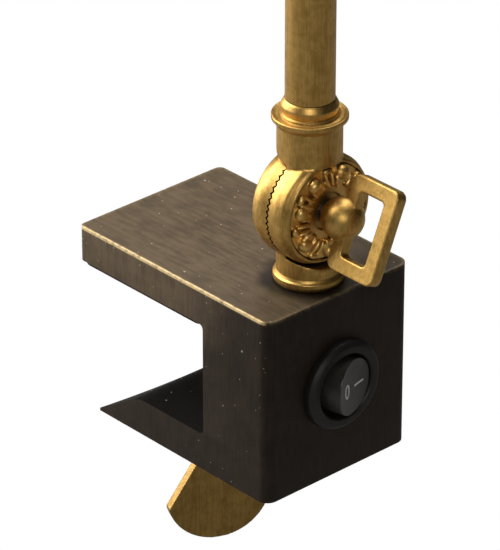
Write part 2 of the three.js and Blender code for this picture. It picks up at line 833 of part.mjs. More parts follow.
function wiring() {
  const wire = (name, points) => {
    const curve = new THREE.CatmullRomCurve3(points.map((p) => new THREE.Vector3(...p)));
    add(name, swept(curve, 0.9, 0, 12, 3), MATERIAL.wire);
  };
  wire("supply_lead", [
    [GLAND.x, POCKET.halfWidth - 2, GLAND.z],
    [GLAND.x - 1, 9, GLAND.z - 1],
    [31, 5.6, -28],
    [29.2, 5.6, -21],
    [29.2, 5.6, -17.2],
  ]);
  wire("neutral_lead", [
    [GLAND.x + 2, POCKET.halfWidth - 2, GLAND.z],
    [GLAND.x, 6, GLAND.z - 3],
    [30.5, -5, -32],
    [29.5, -11, -24],
    [30, -11, -10],
    [31.6, -2.4, -5.7],
  ]);
  wire("lamp_lead", [
    [29.2, -5.6, -14],
    [29, -5.6, -9],
    [31.4, 0.8, -5.9],
  ]);
}

clampGroup();
switchGroup();
thumbscrewGroup();
jointGroups();
tubes();
headGroup();
wiring();

export default lamp;
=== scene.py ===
import json
import math
import random
from contextlib import contextmanager

import bmesh
import bpy
from bpy.props import FloatProperty, FloatVectorProperty, IntProperty, PointerProperty
from mathutils import Euler, Matrix, Vector


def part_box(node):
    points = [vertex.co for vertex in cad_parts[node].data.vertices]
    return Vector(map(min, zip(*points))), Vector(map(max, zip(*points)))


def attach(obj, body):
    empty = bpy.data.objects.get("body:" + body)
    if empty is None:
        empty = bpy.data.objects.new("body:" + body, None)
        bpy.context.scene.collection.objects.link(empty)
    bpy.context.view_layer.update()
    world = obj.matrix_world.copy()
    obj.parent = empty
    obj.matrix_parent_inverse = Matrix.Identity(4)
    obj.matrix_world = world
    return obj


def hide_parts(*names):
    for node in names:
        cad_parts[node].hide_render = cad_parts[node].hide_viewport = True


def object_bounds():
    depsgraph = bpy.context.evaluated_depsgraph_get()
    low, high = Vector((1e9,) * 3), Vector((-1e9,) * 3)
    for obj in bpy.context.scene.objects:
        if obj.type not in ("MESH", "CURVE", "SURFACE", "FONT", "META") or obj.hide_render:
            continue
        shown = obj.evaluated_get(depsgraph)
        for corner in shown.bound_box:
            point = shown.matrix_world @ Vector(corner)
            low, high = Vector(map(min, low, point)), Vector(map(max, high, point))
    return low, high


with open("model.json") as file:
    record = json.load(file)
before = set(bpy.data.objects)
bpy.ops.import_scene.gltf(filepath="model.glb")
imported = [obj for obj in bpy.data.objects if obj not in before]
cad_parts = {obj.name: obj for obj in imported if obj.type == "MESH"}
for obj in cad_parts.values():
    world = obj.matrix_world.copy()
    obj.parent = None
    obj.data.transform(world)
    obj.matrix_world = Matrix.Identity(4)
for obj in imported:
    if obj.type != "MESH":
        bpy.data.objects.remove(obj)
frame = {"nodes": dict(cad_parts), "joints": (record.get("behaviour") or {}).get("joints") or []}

bl_info = {
    "name": "Clip-on Reading Lamp",
    "version": (1, 0, 0),
    "blender": (4, 5, 0),
    "location": "View3D > Sidebar > Reading Lamp",
    "description": "Builds the visual model of a brass clip-on reading lamp round its packed frame",
    "category": "Object",
}

MM = 0.001
CAD_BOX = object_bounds()
JOINTS = {joint["name"]: joint for joint in frame["joints"]}
LOWER_PIVOT = Vector(JOINTS["lower_tilt"]["pos_m"])
UPPER_PIVOT = Vector(JOINTS["upper_tilt"]["pos_m"])
ROCKER_PIVOT = Vector(JOINTS["switch_rock"]["pos_m"])
SCREW_AXIS = Vector(JOINTS["thumbscrew_turn"]["pos_m"])
BLOCK_LOW, BLOCK_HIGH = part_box("clamp_body")
COVER_SCREWS = ("cover_screw_left", "cover_screw_right")
UPWARD = Euler((0, 0, 0))
TOWARDS_X = Euler((0, math.pi / 2, 0))
TOWARDS_Y = Euler((-math.pi / 2, 0, 0))


# ------------------------------------------------------------------ modelling helpers


def deselect():
    if bpy.context.object and bpy.context.object.mode != "OBJECT":
        bpy.ops.object.mode_set(mode="OBJECT")
    bpy.ops.object.select_all(action="DESELECT")


def activate(obj):
    deselect()
    obj.select_set(True)
    bpy.context.view_layer.objects.active = obj
    return obj


@contextmanager
def editing(obj, kind="FACE"):
    """Edit mode on one object, with vertices, edges or faces to select and nothing selected."""
    activate(obj)
    bpy.ops.object.mode_set(mode="EDIT")
    bpy.ops.mesh.select_mode(type=kind)
    bpy.ops.mesh.select_all(action="DESELECT")
    yield
    bpy.ops.object.mode_set(mode="OBJECT")


def pick(kind, test):
    """Selects what passes the test in the mesh being edited.

    The test gets a vertex's place, an edge's two ends, or a face's middle and normal.
    """
    bpy.ops.mesh.select_all(action="DESELECT")
    mesh = bpy.context.object.data
    shape = bmesh.from_edit_mesh(mesh)
    if kind == "verts":
        chosen = [v for v in shape.verts if test(v.co)]
    elif kind == "edges":
        chosen = [e for e in shape.edges if test(e.verts[0].co, e.verts[1].co)]
    else:
        chosen = [f for f in shape.faces if test(f.calc_center_median(), f.normal)]
    for part in chosen:
        part.select_set(True)
    bmesh.update_edit_mesh(mesh)


def pick_all():
    bpy.ops.mesh.select_all(action="SELECT")


def extrude(offset):
    """Draws what is selected out by an offset in metres."""
    bpy.ops.mesh.extrude_region_move(TRANSFORM_OT_translate={"value": offset})


def bevel(radius, segments):
    """Rounds the selected edges; the radius is in metres."""
    bpy.ops.mesh.bevel(offset=radius, segments=segments, affect="EDGES")


def settle(obj):
    """Moves an object's place, turn and scale into its mesh."""
    activate(obj)
    bpy.ops.object.transform_apply(location=True, rotation=True, scale=True)
    return obj


def rename(name):
    obj = bpy.context.object
    obj.name = obj.data.name = name
    return obj


def place(obj, origin=(0, 0, 0), turn=UPWARD):
    obj.rotation_euler = turn
    obj.location = origin
    return settle(obj)


def outward(obj):
    """Merges doubled points and turns every face outwards."""
    with editing(obj, "VERT"):
        pick_all()
        bpy.ops.mesh.remove_doubles(threshold=1e-6)
        bpy.ops.mesh.normals_make_consistent(inside=False)
    return obj


def apply_modifier(obj, kind, **settings):
    activate(obj)
    modifier = obj.modifiers.new(kind.lower(), kind)
    for setting, value in settings.items():
        setattr(modifier, setting, value)
    bpy.ops.object.modifier_apply(modifier=modifier.name)
    return obj


def combine(obj, other, operation):
    apply_modifier(obj, "BOOLEAN", operation=operation, object=other, solver="MANIFOLD")
    bpy.data.objects.remove(other)
    return obj


def join(obj, other):
    return combine(obj, other, "UNION")


def cut(obj, other):
    return combine(obj, other, "DIFFERENCE")


def copy_of(obj, name):
    twin = obj.copy()
    twin.data = obj.data.copy()
    twin.name = twin.data.name = name
    bpy.context.collection.objects.link(twin)
    return twin


def cast(obj, grain, passes, keep=None):
    """Melts an assembled shape into one skin with soft inner corners, as a casting has."""
    apply_modifier(obj, "REMESH", mode="VOXEL", voxel_size=grain, use_smooth_shade=True)
    group = ""
    if keep:
        group = obj.vertex_groups.new(name="soft").name
        indices = [v.index for v in obj.data.vertices if not keep(v.co)]
        obj.vertex_groups["soft"].add(indices, 1.0, "REPLACE")
    apply_modifier(obj, "SMOOTH", factor=0.5, iterations=passes, vertex_group=group)
    return obj


def rounded(profile, segments=4):
    """Rounds a line of (radius, height) points; a third number is that corner's radius."""
    points = []
    for i, point in enumerate(profile):
        here = Vector(point[:2])
        radius = point[2] if len(point) > 2 else 0
        if not radius or i in (0, len(profile) - 1):
            points.append(here)
            continue
        before = (Vector(profile[i - 1][:2]) - here).normalized()
        after = (Vector(profile[i + 1][:2]) - here).normalized()
        half = before.angle(after) / 2
        reach = radius / math.tan(half)
        centre = here + (before + after).normalized() * (radius / math.sin(half))
        start = here + before * reach - centre
        end = here + after * reach - centre
        sweep = start.angle_signed(end)
        points += [
            centre + Matrix.Rotation(-sweep * step / segments, 2) @ start
            for step in range(segments + 1)
        ]
    return points


def line_of(name, points):
    """A line of edges through points: a plane merged to one corner that is extruded on."""
    deselect()
    bpy.ops.mesh.primitive_plane_add(size=MM)
    obj = rename(name)
    with editing(obj, "VERT"):
        pick_all()
        bpy.ops.mesh.merge(type="CENTER")
        bpy.ops.transform.translate(value=points[0])
        for start, end in zip(points, points[1:]):
            extrude(end - start)
    return obj


def plate_of(name, outline, thickness):
    """A flat plate in the XZ plane, in millimetres, filled, thickened and centred on Y."""
    obj = line_of(name, [Vector((x, -thickness / 2, z)) * MM for x, z in outline])
    with editing(obj, "VERT"):
        pick_all()
        bpy.ops.mesh.edge_face_add()
        extrude((0, thickness * MM, 0))
    return outward(obj)


def turned(name, profile, origin=(0, 0, 0), turn=UPWARD, steps=64):
    """A turned body: a line of (radius, height) points in millimetres, spun about its axis."""
    obj = line_of(name, [Vector((p.x, 0, p.y)) * MM for p in rounded(profile)])
    with editing(obj, "VERT"):
        pick_all()
        bpy.ops.mesh.spin(steps=steps, angle=math.tau, center=(0, 0, 0), axis=(0, 0, 1))
    outward(obj)
    return place(obj, origin, turn)


def rod(name, radius, start, end, origin=(0, 0, 0), turn=UPWARD, sides=48):
    """A plain round bar in millimetres, for cutting and joining."""
    profile = [(0, start), (radius, start), (radius, end), (0, end)]
    return turned(name, profile, origin, turn, sides)


def block(name, low, high):
    """A plain box between two corners in metres, for cutting and joining."""
    low, high = Vector(low), Vector(high)
    deselect()
    bpy.ops.mesh.primitive_cube_add(size=1, location=(low + high) / 2)
    obj = rename(name)
    obj.scale = high - low
    return settle(obj)


def middle(node):
    low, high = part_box(node)
    return (low + high) / 2


def finished(obj, body, material, replaces=(), angle=35):
    """Gives a piece its finish and its place in the frame."""
    activate(obj)
    bpy.ops.object.shade_smooth_by_angle(angle=math.radians(angle))
    if not any(obj.data.materials):
        obj.data.materials.clear()
        obj.data.materials.append(material)
        obj.data.polygons.foreach_set("material_index", [0] * len(obj.data.polygons))
    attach(obj, body)
    if replaces:
        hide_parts(*replaces)
    return obj


# ------------------------------------------------------------------ shader helpers


class Wire:
    """An output socket, or a number, with arithmetic that adds Math nodes."""

    def __init__(self, finish, socket):
        self.finish, self.socket = finish, socket

    def math(self, operation, *values):
        settings = {"operation": operation}
        return self.finish.node("ShaderNodeMath", settings, dict(enumerate(values)))

    def __add__(self, other):
        return self.math("ADD", self, other)

    def __sub__(self, other):
        return self.math("SUBTRACT", self, other)

    def __rsub__(self, other):
        return self.math("SUBTRACT", other, self)

    def __mul__(self, other):
        return self.math("MULTIPLY", self, other)

    def __pow__(self, other):
        return self.math("POWER", self, other)

    __radd__, __rmul__ = __add__, __mul__

    def larger(self, other):
        return self.math("MAXIMUM", self, other)

    def between(self, low, high):
        """0 at the low value and 1 at the high one, held in between; high may be the smaller."""
        settings = {"interpolation_type": "SMOOTHSTEP"}
        sockets = {"Value": self, "From Min": low, "From Max": high}
        return self.finish.node("ShaderNodeMapRange", settings, sockets)


class Finish:
    """A material with one Principled surface.

    Its patterns are measured in millimetres on the object's own coordinates.
    """

    def __init__(self, name, **constants):
        self.material = bpy.data.materials.new(name)
        self.material.use_nodes = True
        self.tree = self.material.node_tree
        self.surface = self.tree.nodes["Principled BSDF"]
        for socket, value in constants.items():
            self.surface.inputs[socket.replace("_", " ")].default_value = value
        place = self.node("ShaderNodeTexCoord", {}, {}, output="Object")
        scale = {"Vector": place, "Scale": (1 / MM,) * 3}
        self.place = self.node("ShaderNodeMapping", {}, scale)
        self.x, self.y, self.z = (self.part(self.place, axis) for axis in "XYZ")

    def part(self, vector, axis):
        return self.node("ShaderNodeSeparateXYZ", {}, {"Vector": vector}, output=axis)

    def normal(self):
        return self.node("ShaderNodeNewGeometry", {}, {}, output="Normal")

    def upward(self):
        """1 on faces that look up."""
        return self.part(self.normal(), "Z").between(0.3, 0.7)

    def node(self, kind, settings, sockets, output=0):
        """Any node: its settings, then the value or link of each socket; one output as a Wire."""
        made = self.tree.nodes.new(kind)
        for setting, value in settings.items():
            setattr(made, setting, value)
        for socket, value in sockets.items():
            if isinstance(value, Wire):
                self.tree.links.new(value.socket, made.inputs[socket])
            else:
                made.inputs[socket].default_value = value
        return Wire(self, made.outputs[output])

    def set(self, socket, wire):
        self.tree.links.new(wire.socket, self.surface.inputs[socket])

    def mix(self, factor, first, second):
        """A colour between two, which are (r, g, b) values or Wires."""
        first, second = ((*c, 1) if isinstance(c, tuple) else c for c in (first, second))
        sockets = {0: factor, 6: first, 7: second}
        return self.node("ShaderNodeMix", {"data_type": "RGBA"}, sockets, output=2)

    def stretched(self, stretch, shift=0.0):
        """The place with each axis drawn out, so that patterns run along the longest one."""
        scale = tuple(1 / s for s in stretch)
        sockets = {"Vector": self.place, "Location": (shift,) * 3, "Scale": scale}
        return self.node("ShaderNodeMapping", {}, sockets)

    def noise(self, size, stretch=(1, 1, 1), detail=3.0, roughness=0.55, shift=0.0):
        sockets = {
            "Vector": self.stretched(stretch, shift),
            "Scale": 1 / size,
            "Detail": detail,
            "Roughness": roughness,
        }
        return self.node("ShaderNodeTexNoise", {}, sockets)

    def specks(self, spacing, radius, shift=0.0):
        """Small round dots, one to a cell, of very different sizes."""
        sockets = {"Vector": self.stretched((1, 1, 1), shift), "Scale": 1 / spacing}
        distance = self.node("ShaderNodeTexVoronoi", {}, sockets, output="Distance")
        chance = self.node("ShaderNodeTexVoronoi", {}, sockets, output="Color")
        size = self.part(chance, "X").between(0.55, 1.0) * (radius / spacing)
        return (size - distance).between(0.0, 0.25 * radius / spacing)

    def crevices(self, depth):
        """1 in the hollows narrower than the depth in millimetres, 0 on open faces."""
        sockets = {"Distance": depth * MM}
        open_sky = self.node("ShaderNodeAmbientOcclusion", {"samples": 8}, sockets, output="AO")
        return (1 - open_sky).between(0.12, 0.75)

    def edges(self, radius):
        """1 along edges sharper than the radius in millimetres."""
        soft = self.node("ShaderNodeBevel", {"samples": 6}, {"Radius": radius * MM})
        settings = {"operation": "DOT_PRODUCT"}
        sockets = {0: self.normal(), 1: soft}
        same = self.node("ShaderNodeVectorMath", settings, sockets, output="Value")
        return (1 - same).between(0.01, 0.12)

    def bump(self, height, depth, strength=1.0):
        """Raises the surface by up to the depth in millimetres where the height is 1."""
        sockets = {"Height": height, "Distance": depth * MM, "Strength": strength}
        self.set("Normal", self.node("ShaderNodeBump", {}, sockets))


# ------------------------------------------------------------------ finishes


def scaled(color, factor):
    return tuple(factor * c for c in color)


def antique_brass(name, light, dark, grime, along=(1, 1, 14), rough=0.4, hollows=1.6):
    """Cast brass: brushed one way, dark in streaks, and black where polish doesn't reach."""
    f = Finish(name, Metallic=1.0)
    strokes = f.noise(0.45, along, detail=4, roughness=0.7)
    broad = f.noise(4.5, along, detail=2, shift=3.1)
    grain = f.noise(0.35, detail=4, roughness=0.7, shift=7.7)
    mottle = f.noise(2.4, detail=4, roughness=0.65, shift=11.0)
    hollow = f.crevices(hollows)
    tone = (strokes * 0.4 + broad * 0.25 + mottle * 0.35).between(0.36, 0.64)
    stain = mottle.between(0.55, 0.75) * 0.3
    patina = (hollow * 1.1 + (grain - 0.5) * 0.6 * hollow + stain).between(0.04, 0.95)
    flecks = f.specks(1.7, 0.13, shift=1.7)
    bright = f.specks(1.3, 0.1, shift=8.3)
    base = f.mix(tone, dark, light)
    base = f.mix(bright * 0.5, base, scaled(light, 1.5))
    base = f.mix(patina, base, grime)
    f.set("Base Color", f.mix(flecks * 0.6, base, grime))
    f.set("Roughness", rough - 0.08 + strokes * 0.14 + grain * 0.1 + patina * 0.25)
    f.bump(strokes * 0.4 + grain * 0.4 + mottle * 0.2, 0.06, 0.6)
    return f.material


def bronzed_paint(name, dark, brown, rubbed, gold):
    """Dark bronze paint: brushed, speckled with gold, rubbed lighter over the upper jaw, and with
    painted light: the top face painted lighter as if lit, painted shadows on the top and on the
    lower jaw, and a painted highlight along the near top edge.
    """
    f = Finish(name, Specular_IOR_Level=0.2)
    top = BLOCK_HIGH.z / MM
    strokes = f.noise(0.9, (9, 1.3, 1), detail=4, roughness=0.65)
    drips = f.noise(0.9, (1, 1, 9), detail=4, roughness=0.65, shift=5.0)
    cloud = f.noise(9, detail=3, shift=2.0)
    grain = f.noise(0.3, detail=3, shift=9.0)
    flat = f.z.between(top - 0.5, top - 0.05)
    brushed = strokes * flat + drips * (1 - flat)
    # Rubbed paint along the upper jaw; the top face is also painted lighter, as if lit from above.
    jaw = ((f.x + (cloud - 0.5) * 18).between(36, 12) * f.z.between(-8, 2)).larger(flat * 0.92)
    specks = f.specks(1.5, 0.19).larger(f.specks(4.1, 0.34, shift=4.0))
    # Painted shadow on the top face: towards the far corner, and round the stem's foot.
    far = (f.x * 0.9 + f.y * 0.6 + (cloud - 0.5) * 8).between(30, 46)
    stem = ((f.x - LOWER_PIVOT.x / MM) ** 2 + f.y**2) ** 0.5
    top_shadow = (far * 0.6).larger((stem + (cloud - 0.5) * 6).between(14, 9.5) * 0.85) * flat
    # Painted shadow on the lower jaw's top, under the upper jaw.
    jaw_shadow = f.upward() * f.z.between(-27, -30) * f.x.between(26, 23)
    worn = f.noise(1.4, detail=3, shift=6.0).between(0.25, 0.6)
    edge = f.edges(2.2) * worn
    side = BLOCK_LOW.y / MM
    # Painted highlight along the near top edge, mixed with worn paint.
    corner = f.y.between(side + 0.85, side + 0.4) * f.z.between(top - 0.85, top - 0.4)
    near = corner * (0.3 + worn * 0.7)
    blotch = f.noise(4.5, detail=4, roughness=0.6, shift=13.0)
    tone = (brushed * 0.5 + cloud * 0.2 + blotch * 0.3).between(0.38, 0.62)
    base = f.mix(tone, dark, brown)
    # The rubbed colour: worn paint on the jaw, and painted light on the top face.
    base = f.mix(jaw * (0.55 + tone * 0.45), base, rubbed)
    # Painted shadows, near black: on the top face and on the lower jaw's top.
    base = f.mix(top_shadow.larger(jaw_shadow * 0.95), base, scaled(dark, 0.12))
    base = f.mix(edge * f.z.between(top - 4, top - 1) * 0.25, base, gold)
    # Painted highlight: bright gold along the near top edge.
    base = f.mix(near, base, tuple(min(1.9 * c, 1.0) for c in gold))
    f.set("Base Color", f.mix(specks * 0.8, base, tuple(0.5 * c + 0.25 for c in gold)))
    f.set("Metallic", near * 0.6 + specks * 0.2)
    f.set("Roughness", 0.4 + brushed * 0.16 + cloud * 0.1 - near * 0.15)
    f.bump(brushed * 0.5 + grain * 0.2 + specks * 0.3, 0.08, 0.7)
    return f.material


def shade_paint(name, dark, brown, gold):
    """The same dark bronze on the spun shade, brushed round it, with brass along the rim."""
    f = Finish(name, Metallic=0.35)
    rings = f.noise(0.7, (14, 14, 1), detail=4)
    cloud = f.noise(16, detail=3)
    specks = f.specks(3.2, 0.2)
    tone = (rings * 0.55 + cloud * 0.45).between(0.38, 0.62)
    edge = f.edges(0.9) * f.noise(2.0, detail=3).between(0.35, 0.6)
    base = f.mix(edge * 0.6, f.mix(tone, dark, brown), gold)
    f.set("Base Color", f.mix(specks * 0.5, base, gold))
    f.set("Roughness", 0.34 + rings * 0.16)
    f.bump(rings * 0.6 + specks * 0.4, 0.05, 0.5)
    return f.material


def enamel(name, color):
    f = Finish(name, Coat_Weight=0.3)
    cloud = f.noise(9, detail=2)
    peel = f.noise(0.9, detail=2)
    f.set("Base Color", f.mix(cloud.between(0.3, 0.7), scaled(color, 0.93), color))
    f.set("Roughness", 0.3 + peel * 0.15)
    f.bump(peel, 0.03, 0.35)
    return f.material


def moulded_plastic(name, color, rough):
    """Black plastic with a fine spark-eroded grain and a little dust."""
    f = Finish(name)
    grain = f.noise(0.16, detail=3, roughness=0.7)
    cloud = f.noise(4, detail=2)
    dust = f.specks(1.5, 0.06, shift=2.0)
    base = f.mix(cloud.between(0.3, 0.7), color, scaled(color, 1.7))
    f.set("Base Color", f.mix(dust * 0.35, base, (0.3, 0.27, 0.24)))
    f.set("Roughness", rough + grain * 0.18)
    f.bump(grain, 0.03, 0.5)
    return f.material


def rubber(name, color):
    f = Finish(name, Specular_IOR_Level=0.3)
    grain = f.noise(0.25, detail=4, roughness=0.7)
    cloud = f.noise(3, detail=3)
    f.set("Base Color", f.mix(cloud, scaled(color, 0.6), scaled(color, 1.5)))
    f.set("Roughness", 0.7 + grain * 0.25)
    f.bump(grain * 0.7 + cloud * 0.3, 0.12, 0.7)
    return f.material


def plated_metal(name, color, rough, along=(1, 1, 6)):
    """Machined metal with fine tool marks and faint tarnish."""
    f = Finish(name, Metallic=1.0)
    marks = f.noise(0.25, along, detail=4)
    tarnish = f.noise(3.5, detail=3)
    f.set("Base Color", f.mix(tarnish.between(0.4, 0.75) * 0.5, color, scaled(color, 0.45)))
    f.set("Roughness", rough + marks * 0.15 + tarnish * 0.1)
    f.bump(marks, 0.02, 0.4)
    return f.material


def sleeve(name, color):
    """Extruded sleeve of a lead, with a faint lengthwise sheen."""
    f = Finish(name)
    lines = f.noise(0.4, (1, 1, 8), detail=2)
    f.set("Base Color", f.mix(lines.between(0.3, 0.7), scaled(color, 0.75), color))
    f.set("Roughness", 0.4 + lines * 0.2)
    f.bump(lines, 0.02, 0.3)
    return f.material


def frosted_glass(name, color):
    """Opal glass of the bulb, faintly cloudy."""
    f = Finish(name, Coat_Weight=0.5, Coat_Roughness=0.08)
    cloud = f.noise(7, detail=2)
    f.set("Base Color", f.mix(cloud, scaled(color, 0.94), color))
    f.set("Roughness", 0.25 + cloud * 0.12)
    f.bump(cloud, 0.02, 0.2)
    return f.material


def printed_white(name):
    """White print on the rocker, a little worn."""
    f = Finish(name, Specular_IOR_Level=0.3)
    wear = f.noise(0.5, detail=3)
    f.set("Base Color", f.mix(wear.between(0.62, 0.8), (0.72, 0.71, 0.69), (0.3, 0.29, 0.28)))
    f.set("Roughness", 0.5 + wear * 0.2)
    f.bump(wear, 0.01, 0.3)
    return f.material


MATERIALS = {}


def make_materials(colors):
    brass = tuple(colors.brass_light), tuple(colors.brass_dark), tuple(colors.brass_grime)
    bronze_dark, bronze_brown = tuple(colors.bronze_dark), tuple(colors.bronze_brown)
    # The rubbed colour also paints the top face lighter, as if lit.
    rubbed, gold = tuple(colors.bronze_rubbed_and_lit), tuple(colors.bronze_gold)
    black = tuple(colors.plastic)
    bright = scaled(brass[0], 1.25)
    # Painted shade: the thumbscrew's grip gets a darker copy of the brass.
    paddle = scaled(brass[0], 0.62), scaled(brass[1], 0.6), brass[2]
    MATERIALS.update(
        brass=antique_brass("cast_brass", *brass, along=(1, 1, 9)),
        ornament=antique_brass(
            "ornament_brass", bright, brass[0], (0.16, 0.09, 0.025), along=(1, 1, 3), hollows=0.8
        ),
        cap=antique_brass("cap_brass", *brass, along=(6, 6, 1)),
        tube=antique_brass("tube_brass", *brass, along=(1, 1, 22)),
        paddle=antique_brass("shaded_paddle_brass", *paddle, along=(1, 1, 16)),
        bronze=bronzed_paint("bronze_paint", bronze_dark, bronze_brown, rubbed, gold),
        shade=shade_paint("shade_bronze", bronze_dark, bronze_brown, gold),
        enamel=enamel("shade_enamel", (0.82, 0.79, 0.7)),
        porcelain=enamel("porcelain", (0.8, 0.78, 0.72)),
        plastic=moulded_plastic("black_plastic", scaled(black, 0.5), 0.46),
        rocker=moulded_plastic("rocker_plastic", scaled(black, 2.6), 0.28),
        rubber=rubber("black_rubber", (0.012, 0.011, 0.01)),
        plain_brass=plated_metal("bright_brass", (0.6, 0.43, 0.18), 0.25),
        steel=plated_metal("zinc_steel", (0.52, 0.52, 0.5), 0.28),
        sleeve=sleeve("lead_sleeve", (0.5, 0.38, 0.2)),
        glass=frosted_glass("opal_glass", (0.9, 0.87, 0.8)),
        print=printed_white("white_print"),
    )


# ------------------------------------------------------------------ sizes and colours to change


def number(name, description, value, **limits):
    return FloatProperty(name=name, description=description, default=value, **limits)


def length(name, description, value, low=0.1, high=100.0):
    """A size in millimetres."""
    return number(name, description, value, min=low, max=high)


def angle(name, description, degrees):
    return number(name, description, math.radians(degrees), subtype="ANGLE")


def color(name, description, value):
    limits = {"subtype": "COLOR", "size": 3, "min": 0.0, "max": 1.0}
    return FloatVectorProperty(name=name, description=description, default=value, **limits)


class LampClampSettings(bpy.types.PropertyGroup):
    edge: length("Edge radius", "Rounding of the block's edges, in mm", 1.0)
    corner: length("Corner radius", "Rounding of the block's upright corners, in mm", 3.0)
    nose_height: length("Nose height", "Height of the lower jaw's sharp nose, in mm", 0.8)
    nose_hollow: length("Nose hollow", "Depth of the hollow along the lower jaw's nose, in mm", 13)
    thread_pitch: length("Thread pitch", "Pitch of the thumbscrew, in mm", 1.0)


class LampJointSettings(bpy.types.PropertyGroup):
    disc: length("Disc radius", "Radius of each half of a tilting joint, in mm", 14.4)
    depth: length("Half depth", "From the split to a half's outer face, in mm", 7.2)
    split: length("Split", "Open gap between the teeth, in mm", 0.5)
    teeth: IntProperty(name="Teeth", description="Teeth round each half", default=56, min=8, max=64)
    tooth_rise: length("Tooth rise", "Height of a tooth to each side of the split, in mm", 0.34)
    pearls: IntProperty(name="Pearls", description="Pearls on a rosette", default=7, min=3, max=12)


class LampKeySettings(bpy.types.PropertyGroup):
    ball: length("Ball radius", "Radius of a key's ball, in mm", 5.5)
    bar: length("Bar width", "Width of the loop's bars, in mm", 3.9)
    lean: angle("Lean", "Turn of the loop from upright", 23)


class LampColorSettings(bpy.types.PropertyGroup):
    brass_light: color("Polished brass", "Brass where it is rubbed bright", (0.72, 0.455, 0.14))
    brass_dark: color("Dull brass", "Brass in the darker streaks", (0.42, 0.255, 0.065))
    brass_grime: color("Grime", "Black patina in the hollows", (0.035, 0.02, 0.007))
    # Scaled down, also the near black of the painted shadows on the block.
    bronze_dark: color("Dark bronze", "Darkest paint on the clamp block", (0.016, 0.0105, 0.0068))
    bronze_brown: color("Brown bronze", "Lighter paint on the clamp block", (0.028, 0.019, 0.012))
    # Also the top face's colour, painted lighter as if lit from above.
    bronze_rubbed_and_lit: color("Rubbed bronze", "Paint rubbed thin on the jaw", (0.118, 0.086, 0.052))
    # Also brightened for the painted highlight along the near top edge.
    bronze_gold: color("Gold specks", "Metal that shows through the paint", (0.48, 0.37, 0.2))
    plastic: color("Switch plastic", "Black plastic of the switch", (0.0075, 0.0065, 0.0055))


class LampStageSettings(bpy.types.PropertyGroup):
    lens: length("Focal length", "Focal length of the camera, in mm", 284.2, 20, 500)
    distance: number("Distance", "From the camera to its aim", 1.0949, unit="LENGTH", min=0.1)
    azimuth: angle("Azimuth", "Turn of the camera round the lamp", 47.58)
    elevation: angle("Elevation", "Height angle of the camera", 28.74)
    aim: FloatVectorProperty(
        name="Aim",
        description="The camera's aim, from the middle of the clamp block",
        default=(-0.00381, 0.00585, 0.01273),
        subtype="TRANSLATION",
        unit="LENGTH",
    )
    floor_drop: number("Floor drop", "From the lamp's lowest point down", 0.05, unit="LENGTH")


class LampSettings(bpy.types.PropertyGroup):
    clamp: PointerProperty(type=LampClampSettings)
    joint: PointerProperty(type=LampJointSettings)
    key: PointerProperty(type=LampKeySettings)
    colors: PointerProperty(type=LampColorSettings)
    stage: PointerProperty(type=LampStageSettings)


# ------------------------------------------------------------------ clamp block


JAW_REACH = 46.6
LOWER_JAW_TOP = -30.3
NOSE_START, NOSE_END = -2, -17


def clamp_shell(clamp):
    """The C-shaped casting: a back wall with both jaws drawn out of it, and rounded edges."""
    low, high = BLOCK_LOW, BLOCK_HIGH
    throat = low.x + JAW_REACH * MM
    upper, lower = 1 * MM, LOWER_JAW_TOP * MM
    nose_start, nose = NOSE_START * MM, NOSE_END * MM

    def upright(a, b):
        return abs(a.z - b.z) > 8 * MM

    def throat_corner(a, b):
        across = abs(a.y - b.y) > 30 * MM and abs(a.z) < 35 * MM
        return across and max(abs(a.x - throat), abs(b.x - throat)) < MM

    def nose_corner(a, b):
        above = min(a.z, b.z) > lower - MM
        return above and max(abs(a.x - nose_start), abs(b.x - nose_start)) < 0.1 * MM

    shell = block("clamp_block", (throat, low.y, low.z), high)
    with editing(shell):
        for height in (upper, lower):
            pick_all()
            bpy.ops.mesh.bisect(plane_co=(0, 0, height), plane_no=(0, 0, 1))
        pick("faces", lambda p, n: n.x < -0.9 and p.z > upper)
        extrude((low.x - throat, 0, 0))
        pick("faces", lambda p, n: n.x < -0.9 and p.z < lower and p.x > throat - MM)
        extrude((nose_start - throat, 0, 0))
        extrude((nose - nose_start, 0, 0))
        flatten = clamp.nose_height * MM / (lower - low.z)
        bpy.ops.transform.resize(value=(1, 1, flatten), center_override=(nose, 0, low.z))
    with editing(shell, "EDGE"):
        for test, radius, segments in (
            (lambda a, b: upright(a, b) and a.x > throat + MM, clamp.corner, 8),
            (lambda a, b: upright(a, b) and a.x < low.x + MM, 1.8, 6),
            (throat_corner, 1.4, 4),
            (nose_corner, 2.5, 5),
        ):
            pick("edges", test)
            bevel(radius * MM, segments)
    hollow_nose(shell, clamp, nose)
    outward(shell)
    limit = {"limit_method": "ANGLE", "angle_limit": math.radians(40)}
    return apply_modifier(shell, "BEVEL", width=clamp.edge * MM, segments=4, **limit)


def hollow_nose(shell, clamp, nose):
    """Cuts the arc out of the nose with a large cylinder that ends in the open mouth."""
    half, depth = BLOCK_HIGH.y / MM, clamp.nose_hollow
    radius = (half**2 + depth**2) / (2 * depth)
    centre = (nose + (depth - radius) * MM, 0, 0)
    cut(shell, rod("nose_cutter", radius, -42, -29, centre, sides=256))


